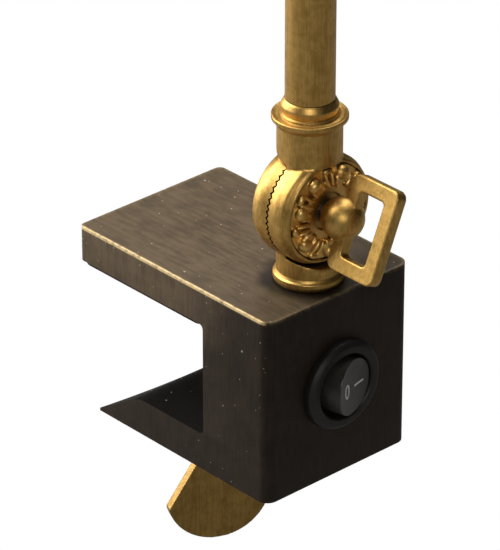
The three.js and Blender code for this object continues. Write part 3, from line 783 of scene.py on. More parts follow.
def cut_clamp_holes(shell):
    """Opens the holes for the switch, stem, screws and cord, and the hollow for the wiring."""
    cover_low, cover_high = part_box("bottom_cover")
    gap = 0.3 * MM
    seat_low = cover_low - Vector((gap, gap, MM))
    cut(shell, block("cover_seat", seat_low, cover_high + Vector((gap, gap, gap))))
    pocket_low = (26.5 * MM, -15 * MM, BLOCK_LOW.z - MM)
    cut(shell, block("pocket", pocket_low, (43 * MM, 15 * MM, MM)))
    switch = (0, 0, middle("switch_housing").z)
    cut(shell, rod("panel_hole", 10, 42, 48, switch, TOWARDS_X))
    cut(shell, rod("stem_hole", 5.3, 0, 12, (LOWER_PIVOT.x, 0, 0)))
    cut(shell, rod("screw_hole", 3.3, -42, -29, (SCREW_AXIS.x, 0, 0)))
    gland = middle("cord_bushing")
    cut(shell, rod("cord_hole", 4, 14, 25, (gland.x, 0, gland.z), TOWARDS_Y))
    for node in COVER_SCREWS:
        screw = middle(node)
        cut(shell, rod("tapped_hole", 1.5, -42, -28, (screw.x, screw.y, 0), sides=20))


class LAMP_OT_clamp_block(bpy.types.Operator):
    """Build the C-shaped clamp casting"""

    bl_idname = "lamp.clamp_block"
    bl_label = "Clamp Block"

    def execute(self, context):
        shell = clamp_shell(context.scene.reading_lamp.clamp)
        cut_clamp_holes(shell)
        finished(shell, "clamp", MATERIALS["bronze"], ["clamp_body"], angle=40)
        return {"FINISHED"}


# ------------------------------------------------------------------ clamp fittings


def jaw_pad():
    low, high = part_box("upper_jaw_pad")
    pad = block("jaw_pad", low, high)
    with editing(pad, "EDGE"):
        pick("edges", lambda a, b: abs(a.z - b.z) > 0.1 * MM)
        bevel(2.4 * MM, 6)
    for row in range(-4, 5):
        start = Vector((low.x / MM + 3, row * 5 - 0.4, -1)) * MM
        end = Vector((high.x / MM - 3, row * 5 + 0.4, 0.25)) * MM
        cut(pad, block("groove", start, end))
    return apply_modifier(pad, "BEVEL", width=0.12 * MM, segments=2, limit_method="ANGLE")


def cover_plate():
    low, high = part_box("bottom_cover")
    plate = block("cover_plate", low, high)
    with editing(plate, "EDGE"):
        pick("edges", lambda a, b: abs(a.z - b.z) > 0.5 * MM)
        bevel(0.8 * MM, 4)
    apply_modifier(plate, "BEVEL", width=0.3 * MM, segments=3, limit_method="ANGLE")
    for node in COVER_SCREWS:
        centre = middle(node)
        origin = (centre.x, centre.y, low.z)
        profile = [(0, -1), (2.9, -1), (2.6, 0.1), (2.6, 1.1), (1.5, 1.1), (1.5, 3), (0, 3)]
        cut(plate, turned("screw_seat", profile, origin, steps=32))
    return plate


def cover_screw():
    """A pan-headed screw with a straight slot, made about the origin with its head downwards."""
    thread = thread_bar("cover_screw_a", 1.2, 0.55, 0.7, 9.4, 0.12)
    head = turned("head", [(0, 0.08), (1.5, 0.1, 0.6), (2.3, 0.45, 0.2), (2.3, 0.85),
        (0, 0.85)], steps=32)
    join(thread, head)
    cut(thread, block("slot", (-3 * MM, -0.33 * MM, -MM), (3 * MM, 0.33 * MM, 0.5 * MM)))
    return thread


def thread_bar(name, radius, pitch, start, end, depth):
    """A threaded bar about Z, in millimetres: one groove is swept up it and cut off square."""
    turns = math.ceil((end - start) / pitch) + 2
    root = radius - depth
    groove = [(root, 0), (radius, 0.38 * pitch), (radius, 0.62 * pitch), (root, pitch)]
    obj = line_of(name, [Vector((x, 0, start - pitch + z)) * MM for x, z in groove])
    steps = {"steps": 20, "render_steps": 20}
    lift = pitch * MM
    apply_modifier(obj, "SCREW", angle=math.tau, screw_offset=lift, iterations=turns, **steps)
    outward(obj)
    with editing(obj, "VERT"):
        for height, side in ((start, -1), (end, 1)):
            pick_all()
            plane = {"plane_co": (0, 0, height * MM), "plane_no": (0, 0, side)}
            bpy.ops.mesh.bisect(**plane, use_fill=True, clear_outer=True)
    return outward(obj)


def bushing():
    centre = middle("cord_bushing")
    profile = [
        (2.6, 13.5), (3.7, 13.5), (3.7, 24.3), (5.4, 24.3, 0.2), (5.4, 24.9, 0.4),
        (4.5, 26.15, 0.6), (3.2, 26.2, 0.4), (2.6, 25.4, 0.3), (2.6, 13.5),
    ]
    return turned("bushing", profile, (centre.x, 0, centre.z), TOWARDS_Y, steps=48)


def foot_cap():
    profile = [
        (0, -28.6), (2.1, -28.6), (2.1, -30), (2.9, -30, 0.4), (3.5, -29.3, 0.4),
        (3.5, -28.5, 0.15),
        (3.25, -28.3, 0.15), (3.5, -28.1, 0.15), (3.5, -27.4, 0.2), (0, -27.4),
    ]
    return turned("foot_cap", profile, (SCREW_AXIS.x, 0, 0), steps=64)


def foot_rubber():
    profile = [(0, -27.1), (3.5, -27.1, 0.1), (3.5, -26.6, 0.2), (3.0, -26.5, 0.1)]
    rings = [(2.6, -26.75, 0.1), (2.2, -26.5, 0.1), (1.7, -26.75, 0.1), (1.2, -26.5, 0.1),
        (0, -26.6)]
    return turned("foot_rubber", profile + rings, (SCREW_AXIS.x, 0, 0), steps=64)


class LAMP_OT_clamp_fittings(bpy.types.Operator):
    """Build the pad, the cover with its screws, the cord bushing and the pressure foot"""

    bl_idname = "lamp.clamp_fittings"
    bl_label = "Clamp Fittings"

    def execute(self, context):
        finished(jaw_pad(), "clamp", MATERIALS["rubber"], ["upper_jaw_pad"])
        finished(cover_plate(), "clamp", MATERIALS["bronze"], ["bottom_cover"])
        first = cover_screw()
        second = copy_of(first, "cover_screw_b")
        for screw, node, turn in zip((first, second), COVER_SCREWS, (0.4, 1.9)):
            centre = middle(node)
            place(screw, (centre.x, centre.y, BLOCK_LOW.z), Euler((0, 0, turn)))
            finished(screw, "clamp", MATERIALS["steel"], [node])
        finished(bushing(), "clamp", MATERIALS["rubber"], ["cord_bushing"])
        finished(foot_cap(), "foot", MATERIALS["brass"], ["pressure_foot"])
        finished(foot_rubber(), "foot", MATERIALS["rubber"], ["foot_pad"])
        return {"FINISHED"}


# ------------------------------------------------------------------ thumbscrew

GRIP_TURN = 66


def screw_shank(pitch):
    bar = thread_bar("screw_shank", 3, pitch, -51.7, -32, 0.42)
    neck = [(0, -57), (2.2, -57), (2.2, -52), (2.8, -51.6), (2.8, -51), (0, -51)]
    tip = [(0, -32.6), (2.7, -32.6), (2.7, -31.6, 0.4), (1.8, -30.7, 0.2), (1.8, -28.9), (0, -28.9)]
    join(bar, turned("neck", neck, steps=48))
    join(bar, turned("tip", tip, steps=48))
    return place(bar, (SCREW_AXIS.x, 0, 0))


def screw_paddle():
    """The fan-shaped grip: straight sides that open to a wide round end, on a round hub."""
    radius, centre, top = 14.1, -65.4, -53
    start, sweep, steps = 194, 152, 40
    turns = [math.radians(start + sweep * step / steps) for step in range(steps + 1)]
    fan = [(radius * math.cos(a), centre + radius * math.sin(a)) for a in turns]
    outline = [(4.2, top), (-4.2, top)] + fan
    paddle = plate_of("screw_paddle", outline, 3)
    hub = [(0, -57.6), (4.6, -57.6, 0.8), (4.6, -52.5, 0.7), (0, -52.5)]
    join(paddle, turned("hub", hub, steps=48))
    cast(paddle, 0.28 * MM, 4)
    cut(paddle, rod("socket", 2.5, -57.3, -50))
    return place(paddle, (SCREW_AXIS.x, 0, 0), Euler((0, 0, math.radians(GRIP_TURN))))


class LAMP_OT_thumbscrew(bpy.types.Operator):
    """Build the thumbscrew's threaded shank and fan-shaped grip"""

    bl_idname = "lamp.thumbscrew"
    bl_label = "Thumbscrew"

    def execute(self, context):
        shank = screw_shank(context.scene.reading_lamp.clamp.thread_pitch)
        for piece, finish, node in (
            (shank, "brass", "thumbscrew_shank"),
            (screw_paddle(), "paddle", "thumbscrew_paddle"),
        ):
            finished(piece, "thumbscrew", MATERIALS[finish], [node])
        return {"FINISHED"}


# ------------------------------------------------------------------ rocker switch

FACE_RADIUS, PRINT_RADIUS, FACE_AXIS = 46, 45.93, 49.6
ROCKER_TILT = 17


def switch_bezel():
    front = BLOCK_HIGH.x / MM
    lip = front + 3.1
    profile = [
        (0, 33.6), (9.7, 33.6, 0.5), (9.7, front + 0.3), (12, front + 0.3, 0.2),
        (11.9, front + 2, 0.9),
        (10.8, lip, 0.9), (9.0, lip, 0.35), (8.6, lip - 0.6, 0.2), (8.6, lip - 1.6),
        (8.95, lip - 2),
        (8.95, 34.8), (0, 34.8),
    ]
    bezel = turned("switch_bezel", profile, (0, 0, ROCKER_PIVOT.z), TOWARDS_X, steps=96)
    for node in ("terminal_supply", "terminal_lamp"):
        low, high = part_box(node)
        gap = Vector((0, 0.3, 0.3)) * MM
        cut(bezel, block("blade_slot", low - gap, high + gap))
    return bezel


def face_drum(radius):
    """The wide cylinder across the rocking direction that hollows the rocker's face."""
    drum = rod("drum", radius, -12, 12, sides=200)
    return place(drum, (0, 0, FACE_AXIS * MM), Euler((math.pi / 2, 0, math.pi / 2)))


def rocker():
    profile = [(0, -3.5), (7.4, -3.5, 0.3), (7.4, 4.2, 0.5), (0, 4.2)]
    paddle = turned("rocker", profile, steps=96)
    cut(paddle, face_drum(FACE_RADIUS))
    return paddle


def mark_off():
    """A printed oval ring that follows the rocker's face a hair above it."""
    ring = ellipse_disc("mark_off", 2.3, 4.0, 3.3, 4.5)
    cut(ring, ellipse_disc("hole", 1.35, 3.05, 3, 5))
    place(ring, (0, -3 * MM, 0))
    cut(ring, face_drum(PRINT_RADIUS))
    return ring


def mark_on():
    """A printed bar beside the ring."""
    bar = block("mark_on", (-0.25 * MM, 0.7 * MM, 3.3 * MM), (0.25 * MM, 4.6 * MM, 4.5 * MM))
    cut(bar, face_drum(PRINT_RADIUS))
    return bar


def ellipse_disc(name, width, height, bottom, top):
    disc = rod(name, 1, bottom, top, sides=48)
    disc.scale = (height / 2, width / 2, 1)
    return settle(disc)


class LAMP_OT_switch(bpy.types.Operator):
    """Build the round rocker switch with its on and off marks"""

    bl_idname = "lamp.switch"
    bl_label = "Rocker Switch"

    def execute(self, context):
        finished(switch_bezel(), "clamp", MATERIALS["plastic"], ["switch_housing"])
        tilt = Euler((0, math.pi / 2, math.radians(ROCKER_TILT)), "XYZ")
        for piece, finish, replaces in (
            (rocker(), "rocker", ["switch_rocker"]),
            (mark_off(), "print", ()),
            (mark_on(), "print", ()),
        ):
            place(piece, ROCKER_PIVOT, tilt)
            finished(piece, "rocker", MATERIALS[finish], replaces)
        return {"FINISHED"}


# ------------------------------------------------------------------ tilting joints

FOOT_FLANGE = [
    (0, 16.7), (8.1, 16.7), (8.12, 17.7, 0.5), (8.45, 18.35, 0.3), (8.9, 18.7, 0.45),
    (8.97, 19.8, 0.6),
    (8.7, 20.75, 0.3), (0, 20.75),
]
TUBE_COLLAR = [
    (0, 20), (8.1, 20), (8.1, 21.7, 0.6), (8.95, 22.7, 0.5), (9.45, 23.2, 0.25), (9.45, 24.25, 0.3),
    (9.1, 24.4, 0.15), (8.1, 23.95, 0.5), (7.35, 24.2, 0.15), (7.3, 24.75, 0.25),
    (6.85, 24.95, 0.15),
    (7.0, 25.6, 0.45), (7.1, 26.9, 0.7), (6.5, 28.1, 0.35), (6.2, 28.5), (5, 28.5), (5, 39.5),
    (0, 39.5),
]


def tooth_cutter(joint, side):
    """A drum with V teeth on one end, which sits on one side of the split and clears it."""
    reach, depth = 15.05, 20
    half_gap = joint.split / 2
    deselect()
    bpy.ops.mesh.primitive_cylinder_add(
        vertices=4 * joint.teeth,
        radius=reach * MM,
        depth=depth * MM,
        location=(0, 0, side * (half_gap - depth / 2) * MM),
        end_fill_type="TRIFAN",
    )
    cutter = rename("tooth_cutter")
    settle(cutter)
    face = side * half_gap * MM
    step = math.tau / (4 * joint.teeth)
    waves = (0, 1, 0, -1)
    with editing(cutter, "VERT"):
        for wave in (1, -1):

            def on_wave(p):
                turn = round(math.atan2(p.y, p.x) / step) % 4
                return abs(p.z - face) < 0.01 * MM and p.xy.length > MM and waves[turn] == wave

            pick("verts", on_wave)
            bpy.ops.transform.translate(value=(0, 0, wave * joint.tooth_rise * MM))
    return place(cutter, turn=TOWARDS_X)


def joint_half(name, joint, front, foot):
    """One half of a joint about the origin, its disc on +X, its neck cast on towards +Z."""
    outer, depth, recess = joint.disc, joint.depth, 1.95
    if front:
        rim = [(outer - 0.5, -0.4), (outer - 0.4, 0.5, 0.3), (outer, 2.6, 2)]
        rim += [(outer - 0.1, 5.3, 1.2), (outer - 0.75, 5.9, 0.3), (outer - 0.8, 6.7, 0.45)]
        rim += [(outer - 1.2, depth, 0.35), (outer - 1.8, depth, 0.3)]
        rim += [(outer - recess, 6, 0.2), (0, 6)]
    else:
        rim = [(outer - 0.4, -0.4), (outer - 0.3, 0.5, 0.2), (outer, 2.2, 1.5)]
        rim += [(outer, 3.6, 1.5), (outer - 1.0, 6.2, 1.8), (outer - 3.6, depth, 2.2), (0, depth)]
    half = turned(name, [(0, -0.4)] + rim, turn=TOWARDS_X, steps=128)
    neck = rod("neck", 8.1, 6, 19.2 if foot else 22, sides=96)
    cut(neck, rod("clearance", 15.1, -20, 0.3, turn=TOWARDS_X, sides=128))
    if front:
        cut(neck, rod("recess", outer - recess, 6, 20, turn=TOWARDS_X, sides=128))
    join(half, neck)
    cast(half, 0.33 * MM, 8, keep=lambda p: p.z > 16 * MM)
    cut(half, tooth_cutter(joint, 1))
    join(half, turned("collar", FOOT_FLANGE if foot else TUBE_COLLAR, steps=96))
    chamber = [(3.8, -1), (8.8, -1), (8.8, 4), (3.8, 4), (3.8, -1)]
    cut(half, turned("chamber", chamber, turn=TOWARDS_X, steps=48))
    cut(half, rod("screw_hole", 2.6, -5, 20 if front else 5.5, turn=TOWARDS_X, sides=32))
    cut(half, rod("wire_hole", 2.4, 6, 45, sides=32))
    if foot:
        cut(half, rod("nipple_hole", 5.3, 16.7, 26, sides=48))
    return half


def rear_half(name, joint, foot):
    """A rear half points the other way; its teeth are in step with the front half's at rest."""
    half = joint_half(name, joint, False, foot)
    return place(half, turn=Euler((0, math.pi, 0)))


class LAMP_OT_joints(bpy.types.Operator):
    """Build the toothed halves of the lower and the upper tilting joint"""

    bl_idname = "lamp.joints"
    bl_label = "Tilting Joints"

    def execute(self, context):
        joint = context.scene.reading_lamp.joint
        knuckle = joint_half("lower_knuckle", joint, True, False)
        pieces = (
            (rear_half("joint_foot", joint, True), LOWER_PIVOT, 0, "clamp", "stem_foot"),
            (knuckle, LOWER_PIVOT, 0, "stem", "stem_knuckle"),
            (copy_of(knuckle, "upper_knuckle"), UPPER_PIVOT, -90, "arm", "arm_knuckle"),
            (rear_half("joint_head", joint, False), UPPER_PIVOT, -90, "stem", "stem_head"),
        )
        for piece, pivot, turn, body, node in pieces:
            place(piece, pivot, Euler((0, 0, math.radians(turn))))
            finished(piece, body, MATERIALS["brass"], [node])
        return {"FINISHED"}


# ------------------------------------------------------------------ rosettes


def pebble(name, size, origin, turn=UPWARD, rough=20):
    """A smooth egg-shaped lump, in millimetres: the start of a pearl, a leaf or a ridge."""
    deselect()
    bpy.ops.mesh.primitive_uv_sphere_add(segments=rough, ring_count=rough // 2, radius=MM)
    lump = rename(name)
    lump.scale = size
    return place(lump, Vector(origin) * MM, turn)


def curl(name, radius, thick, origin, start, sweep):
    """A scroll in the rosette's plane: a small ring section that is spun part of the way round."""
    deselect()
    bpy.ops.mesh.primitive_circle_add(vertices=10, radius=thick * MM, location=(radius * MM, 0, 0))
    scroll = rename(name)
    scroll.rotation_euler = (math.pi / 2, 0, 0)
    settle(scroll)
    with editing(scroll, "EDGE"):
        pick_all()
        bpy.ops.mesh.edge_face_add()
        pick_all()
        bpy.ops.mesh.spin(steps=12, angle=sweep, center=(0, 0, 0), axis=(0, 0, 1))
    outward(scroll)
    return place(scroll, Vector(origin) * MM, Euler((0, 0, start)))


def merged(pieces):
    """Joins several objects into the first, as loose shells of one mesh."""
    first = activate(pieces[0])
    for piece in pieces[1:]:
        piece.select_set(True)
    bpy.ops.object.join()
    return settle(first)


def rosette(name, pearls, seed):
    """Cast ornament round the key's seat: pearls with scrolls, and ribbed leaves between them."""
    dice = random.Random(seed)
    floor = [(4.9, 6.3), (12.45, 6.3), (12.45, 6.7, 0.2), (10, 6.9), (6.2, 7.0, 0.3)]
    floor += [(4.9, 6.8), (4.9, 6.3)]
    lumps = [turned(name, floor, steps=96)]
    step = math.tau / pearls
    for index in range(pearls):
        around = index * step + dice.uniform(-0.09, 0.09)
        out = Vector((math.cos(around), math.sin(around), 0))
        side = Vector((-out.y, out.x, 0))
        swell = dice.uniform(0.85, 1.12)
        top = Vector((0, 0, 7.5))
        pearl = (1.65 * swell, 1.95 * swell, 1.65 * swell)
        lumps.append(pebble("pearl", pearl, out * 10.4 + top, Euler((0, 0, around))))
        for way in (1, -1):
            origin = out * 7.9 + side * way * 1.35 + Vector((0, 0, 7.6 + dice.uniform(-0.2, 0.2)))
            start = around + way * 0.6 - (0 if way > 0 else 3.6)
            lumps.append(curl("scroll", 1.05, 0.55, origin, start, 3.6))
            lumps.append(pebble("eye", (0.55, 0.55, 0.8), origin + Vector((0, 0, 0.1)), rough=12))
        leaf = around + step / 2
        for rib in (-1.5, -0.5, 0.5, 1.5):
            turn = leaf + rib * 0.19
            reach = 9.4 - 0.4 * abs(rib) + dice.uniform(-0.15, 0.15)
            long = 2.4 - 0.3 * abs(rib) + dice.uniform(-0.15, 0.15)
            lean = Euler((0, math.radians(14), turn), "XYZ")
            origin = Vector((math.cos(turn) * reach, math.sin(turn) * reach, 7.5))
            lumps.append(pebble("rib", (long, 0.56, 1.15), origin, lean, 14))
        tip = Vector((math.cos(leaf), math.sin(leaf), 0)) * 11.5 + Vector((0, 0, 7.2))
        lumps.append(pebble("tip", (0.9, 1.5, 1.0), tip, Euler((0, 0, leaf)), 14))
    whole = merged(lumps)
    cast(whole, 0.17 * MM, 3)
    cut(whole, rod("bore", 4.9, 6, 10, sides=64))
    trim = [(12.55, 5), (14, 5), (14, 10), (12.55, 10), (12.55, 5)]
    cut(whole, turned("trim", trim, steps=96))
    return place(whole, turn=TOWARDS_X)


class LAMP_OT_rosettes(bpy.types.Operator):
    """Build the cast rosette in the front of each joint"""

    bl_idname = "lamp.rosettes"
    bl_label = "Rosettes"

    def execute(self, context):
        pearls = context.scene.reading_lamp.joint.pearls
        lower = rosette("lower_ornament", pearls, 11)
        upper = copy_of(lower, "upper_ornament")
        place(lower, LOWER_PIVOT)
        place(upper, UPPER_PIVOT, Euler((0, 0, -math.pi / 2)))
        places = ((lower, "stem", "lower_rosette"), (upper, "arm", "upper_rosette"))
        for piece, body, node in places:
            finished(piece, body, MATERIALS["ornament"], [node], angle=60)
        return {"FINISHED"}


# ------------------------------------------------------------------ keys

BALL_OUT = 11.8


def frame_corners(x0, x1, half, radius, steps=6):
    """A rectangle with round corners in the plane of a key's loop."""
    corners = []
    for x, z, start in ((x1, half, 0), (x0, half, 90), (x0, -half, 180), (x1, -half, 270)):
        inset_x = math.copysign(radius, x - (x0 + x1) / 2)
        centre = Vector((x - inset_x, z - math.copysign(radius, z)))
        for step in range(steps + 1):
            turn = math.radians(start + 90 * step / steps)
            corners.append((centre.x + radius * math.cos(turn), centre.y + radius * math.sin(turn)))
    return corners


def loop_key(name, key):
    """A flat cast loop with a ball on one bar. The ball's socket takes the screw's shank."""
    bar, near, far, half = key.bar, 12.3, 28.1, 12.2
    loop = plate_of(name, frame_corners(near, far, half, 2.2), 3.2)
    hole = frame_corners(near + bar - 0.4, far - bar, half - bar, 1.0)
    cut(loop, plate_of("hole", hole, 8))
    place(loop, turn=Euler((-key.lean, 0, 0)))
    join(loop, pebble("ball", (key.ball,) * 3, (BALL_OUT, 0, 0), rough=64))
    cast(loop, 0.22 * MM, 7)
    cut(loop, rod("socket", 2.6, 0, 10.4, turn=TOWARDS_X, sides=32))
    return loop


class LAMP_OT_keys(bpy.types.Operator):
    """Build the loop key that tightens each joint"""

    bl_idname = "lamp.keys"
    bl_label = "Keys"

    def execute(self, context):
        lower = loop_key("lower_loop", context.scene.reading_lamp.key)
        upper = copy_of(lower, "upper_loop")
        place(lower, LOWER_PIVOT)
        place(upper, UPPER_PIVOT, Euler((0, 0, -math.pi / 2)))
        for piece, body in ((lower, "lower_key"), (upper, "upper_key")):
            finished(piece, body, MATERIALS["brass"], [body + "_loop"], angle=60)
        return {"FINISHED"}


# ------------------------------------------------------------------ stem and crook arm

TUBE_RADIUS, TUBE_BORE = 6.15, 5.3


def stem():
    low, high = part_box("stem_tube")
    bottom, top = low.z / MM - 0.25, high.z / MM
    profile = [(TUBE_RADIUS, bottom, 0.15), (TUBE_RADIUS, top, 0.15), (TUBE_BORE, top)]
    profile = [(TUBE_BORE, bottom)] + profile + [(TUBE_BORE, bottom)]
    return turned("stem", profile, (LOWER_PIVOT.x, 0, 0), steps=96)


def crook():
    """A ring drawn up, spun through half a turn and drawn down again, then given its wall."""
    low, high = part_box("crook_arm")
    radius, wall = TUBE_RADIUS * MM, (TUBE_RADIUS - TUBE_BORE) * MM
    left = low.x + radius
    bend = (UPPER_PIVOT.x - left) / 2
    crown = high.z - radius - bend
    foot, end = low.z, head_origin().z
    deselect()
    bpy.ops.mesh.primitive_circle_add(vertices=64, radius=radius, location=(UPPER_PIVOT.x, 0, foot))
    arm = settle(rename("crook"))
    with editing(arm, "EDGE"):
        pick_all()
        extrude((0, 0, crown - foot))
        centre = (UPPER_PIVOT.x - bend, 0, crown)
        bpy.ops.mesh.spin(steps=72, angle=math.pi, center=centre, axis=(0, 1, 0))
        extrude((0, 0, end - crown))
    outward(arm)
    return apply_modifier(arm, "SOLIDIFY", thickness=wall, offset=-1)


class LAMP_OT_stem_and_arm(bpy.types.Operator):
    """Build the straight stem tube and the crook arm"""

    bl_idname = "lamp.stem_and_arm"
    bl_label = "Stem and Arm"

    def execute(self, context):
        finished(stem(), "stem", MATERIALS["tube"], ["stem_tube"])
        finished(crook(), "arm", MATERIALS["tube"], ["crook_arm"], angle=50)
        return {"FINISHED"}


# ------------------------------------------------------------------ shade and lampholder

CAP_OVERLAP = 6
SHADE_TOP, SHADE_DROP = -11.9, 72
SHOULDER, RIM = 24, 55


def head_origin():
    """The lower end of the crook arm: heights in the shade and lampholder start from it."""
    centre = middle("shade_cap")
    return Vector((centre.x, centre.y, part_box("shade_cap")[1].z - CAP_OVERLAP * MM))


def bell_line(inset, steps=28):
    """The shade's curve from its shoulder almost to its rim, as (radius, height) in millimetres."""
    line = []
    for step in range(1, steps):
        turn = math.pi / 2 * step / steps
        radius = SHOULDER + (RIM - SHOULDER) * math.sin(turn) ** 0.8 - inset
        line.append((radius, SHADE_TOP - SHADE_DROP * (1 - math.cos(turn))))
    return line


def shade_bell():
    wall, bore = 1.2, 18
    roll = [(54.9, -82.6), (RIM, -83.2), (54.75, -83.75), (54.2, -83.9), (53.5, -83.8)]
    roll += [(53.1, -83.3), (53.3, -82.5)]
    inner = [p for p in reversed(bell_line(wall)) if p[1] > -82.3]
    outer = [p for p in bell_line(0) if p[1] > -82.5]
    top = [(bore, SHADE_TOP), (SHOULDER, SHADE_TOP)]
    under = [(23.4, SHADE_TOP - wall), (bore, SHADE_TOP - wall), (bore, SHADE_TOP)]
    axis = head_origin()
    bell = turned("shade_bell", top + outer + roll + inner + under, axis, steps=160)
    bell.data.materials.append(MATERIALS["shade"])
    bell.data.materials.append(MATERIALS["enamel"])

    def lining(p, n):
        out = Vector((p.x - axis.x, p.y - axis.y, 0))
        inward = n.dot(out.normalized()) < -0.2 or n.z < -0.5
        return out.length > (bore - 0.5) * MM and inward and p.z > axis.z - 82.4 * MM

    with editing(bell):
        pick("faces", lining)
        bell.active_material_index = 1
        bpy.ops.object.material_slot_assign()
    return bell


CAP = [
    (6.45, 6), (7.4, 6, 0.3), (8.3, 5.5, 0.4), (8.5, 4.4, 0.4), (7.9, 3.8, 0.2),
    (7.9, 3.2, 0.2), (8.6, 2.7, 0.4),
    (8.7, 1.2, 0.8), (10.8, 0.6, 1.5), (15.5, -1.2, 6), (19.6, -5.5, 6), (21.4, -9.3, 2),
    (22.5, -10.2, 0.3),
    (22.6, -11.5, 0.4), (5, -11.6), (5, -0.3), (6.45, -0.3), (6.45, 6),
]
CLAMP_RING = [(16.6, -16.8), (20.4, -16.8, 0.5), (21, -16.2, 0.3), (21, -13.4, 0.3),
    (16.6, -13.4), (16.6, -16.8)]
HOLDER_SHELL = [
    (3, -12), (15.2, -12, 0.3), (16.2, -12.8, 0.6), (16.2, -20, 0.3), (15.9, -20.4, 0.2),
    (16.2, -20.8, 0.3),
    (16.2, -40.8, 0.3), (15.9, -41.1, 0.2), (16.2, -41.5, 0.3), (16.1, -42, 0.2), (15.4, -42),
    (15.4, -13.2),
    (3, -13.2), (3, -12),
]
HOLDER_BODY = [(2.6, -21), (14.4, -21, 0.5), (15, -20.3, 0.4), (15, -13.6, 0.4), (2.6, -13.6),
    (2.6, -21)]


def screw_cap():
    """The bulb's metal cap: a contact button, a sloping shoulder and a rolled thread."""
    waves = [math.sin(step * math.tau / 8) for step in range(36)]
    rolled = [(12.75 + 0.42 * wave, -27 - step * 0.44) for step, wave in enumerate(waves)]
    line = [(0, -23), (3.4, -23.1, 0.4), (4.2, -24, 0.3), (8, -25.5, 0.6),
        (12.3, -26.1, 0.6)] + rolled
    inside = [(12.3, -43.4), (12.2, -43.4), (12.2, -26.9), (7.6, -26.3), (3.7, -23.9), (0, -23.8)]
    return turned("bulb_cap", line + [(13.1, -43.3)] + inside, head_origin(), steps=96)


def globe():
    def skin(radius, neck):
        ball = [(neck, -43.7), (neck + 0.1, -45.5), (neck + 0.5, -47.6), (neck + 1.3, -49.8)]
        for step in range(33):
            turn = math.radians(38 - 128 * step / 32)
            ball.append((max(radius * math.cos(turn), 0), -62 + radius * math.sin(turn)))
        ball[-1] = (0, -62 - radius)
        return ball

    profile = skin(17.5, 12.4) + list(reversed(skin(16.7, 11.6))) + [(12.4, -43.7)]
    return turned("bulb", profile, head_origin(), steps=96)


class LAMP_OT_shade(bpy.types.Operator):
    """Build the bell shade and its cap"""

    bl_idname = "lamp.shade"
    bl_label = "Shade and Cap"

    def execute(self, context):
        finished(shade_bell(), "arm", MATERIALS["shade"], ["shade"], angle=50)
        cap = turned("cap", CAP, head_origin(), steps=128)
        finished(cap, "arm", MATERIALS["cap"], ["shade_cap"])
        return {"FINISHED"}


class LAMP_OT_lampholder(bpy.types.Operator):
    """Build the lampholder and the bulb"""

    bl_idname = "lamp.lampholder"
    bl_label = "Lampholder and Bulb"

    def execute(self, context):
        origin = head_origin()
        ring = turned("clamp_ring", CLAMP_RING, origin, steps=96)
        for index in range(24):
            notch = rod("notch", 0.5, -17.5, -12, (21.2 * MM, 0, 0), sides=10)
            place(notch, turn=Euler((0, 0, index * math.tau / 24)))
            cut(ring, place(notch, origin))
        finished(ring, "arm", MATERIALS["plastic"], ["shade_ring"])
        shell = turned("holder_shell", HOLDER_SHELL, origin, steps=96)
        finished(shell, "arm", MATERIALS["plain_brass"], ["lampholder_shell"])
        body = turned("holder_body", HOLDER_BODY, origin, steps=96)
        finished(body, "arm", MATERIALS["porcelain"], ["lampholder_base"])
        finished(screw_cap(), "arm", MATERIALS["steel"], ["bulb_base"], angle=50)
        finished(globe(), "arm", MATERIALS["glass"], ["bulb_globe"], angle=50)
        return {"FINISHED"}


# ------------------------------------------------------------------ plain parts inside

INSIDE = {
    "sleeve": ("supply_lead", "neutral_lead", "lamp_lead", "stem_lead", "arm_lead"),
    "plain_brass": (
        "terminal_supply", "terminal_lamp", "stem_nipple", "screw_shell", "centre_contact",
    ),
    "steel": ("nipple_washer", "nipple_nut", "lower_key_shank", "upper_key_shank"),
}


class LAMP_OT_inside(bpy.types.Operator):
    """Finish the plain parts that stay as the frame has them"""

    bl_idname = "lamp.inside"
    bl_label = "Parts Inside"

    def execute(self, context):
        for finish, nodes in INSIDE.items():
            for node in nodes:
                for slot in frame["nodes"][node].material_slots:
                    slot.material = MATERIALS[finish]
        return {"FINISHED"}


# ------------------------------------------------------------------ stage


LIT_POINT = Vector((0, 0, 0.1))
LIGHTS = (
    ("key_light", (-0.64, -0.5, 0.6), 1.6, (0.8, 1.5), 30, (1, 0.97, 0.93)),
    ("top_light", (-0.3, 0.25, 0.92), 1.6, (1.2, 1.2), 30, (1, 0.98, 0.95)),
    ("left_light", (-0.93, -0.3, 0.1), 1.3, (0.5, 1.6), 16, (1, 0.96, 0.9)),
    ("front_light", (0.64, -0.6, 0.48), 2.2, (0.5, 0.5), 12, (1, 0.97, 0.93)),
)


def add_light(name, towards, distance, size, power, color):
    """A soft rectangular light that shines from a direction on to the lamp."""
    back = Vector(towards).normalized()
    deselect()
    bpy.ops.object.light_add(type="AREA", location=LIT_POINT + back * distance)
    light = bpy.context.object
    light.name = light.data.name = name
    light.rotation_euler = back.to_track_quat("Z", "Y").to_euler()
    light.data.shape = "RECTANGLE"
    light.data.size, light.data.size_y = size
    light.data.energy = power
    light.data.color = color


def white_for_camera(tree, kept, plain):
    """Shows plain white to the camera and keeps the shader for everything else."""
    seen = tree.nodes.new("ShaderNodeLightPath")
    either = tree.nodes.new("ShaderNodeMixShader")
    tree.links.new(seen.outputs["Is Camera Ray"], either.inputs[0])
    tree.links.new(kept.outputs[0], either.inputs[1])
    tree.links.new(plain.outputs[0], either.inputs[2])
    return either


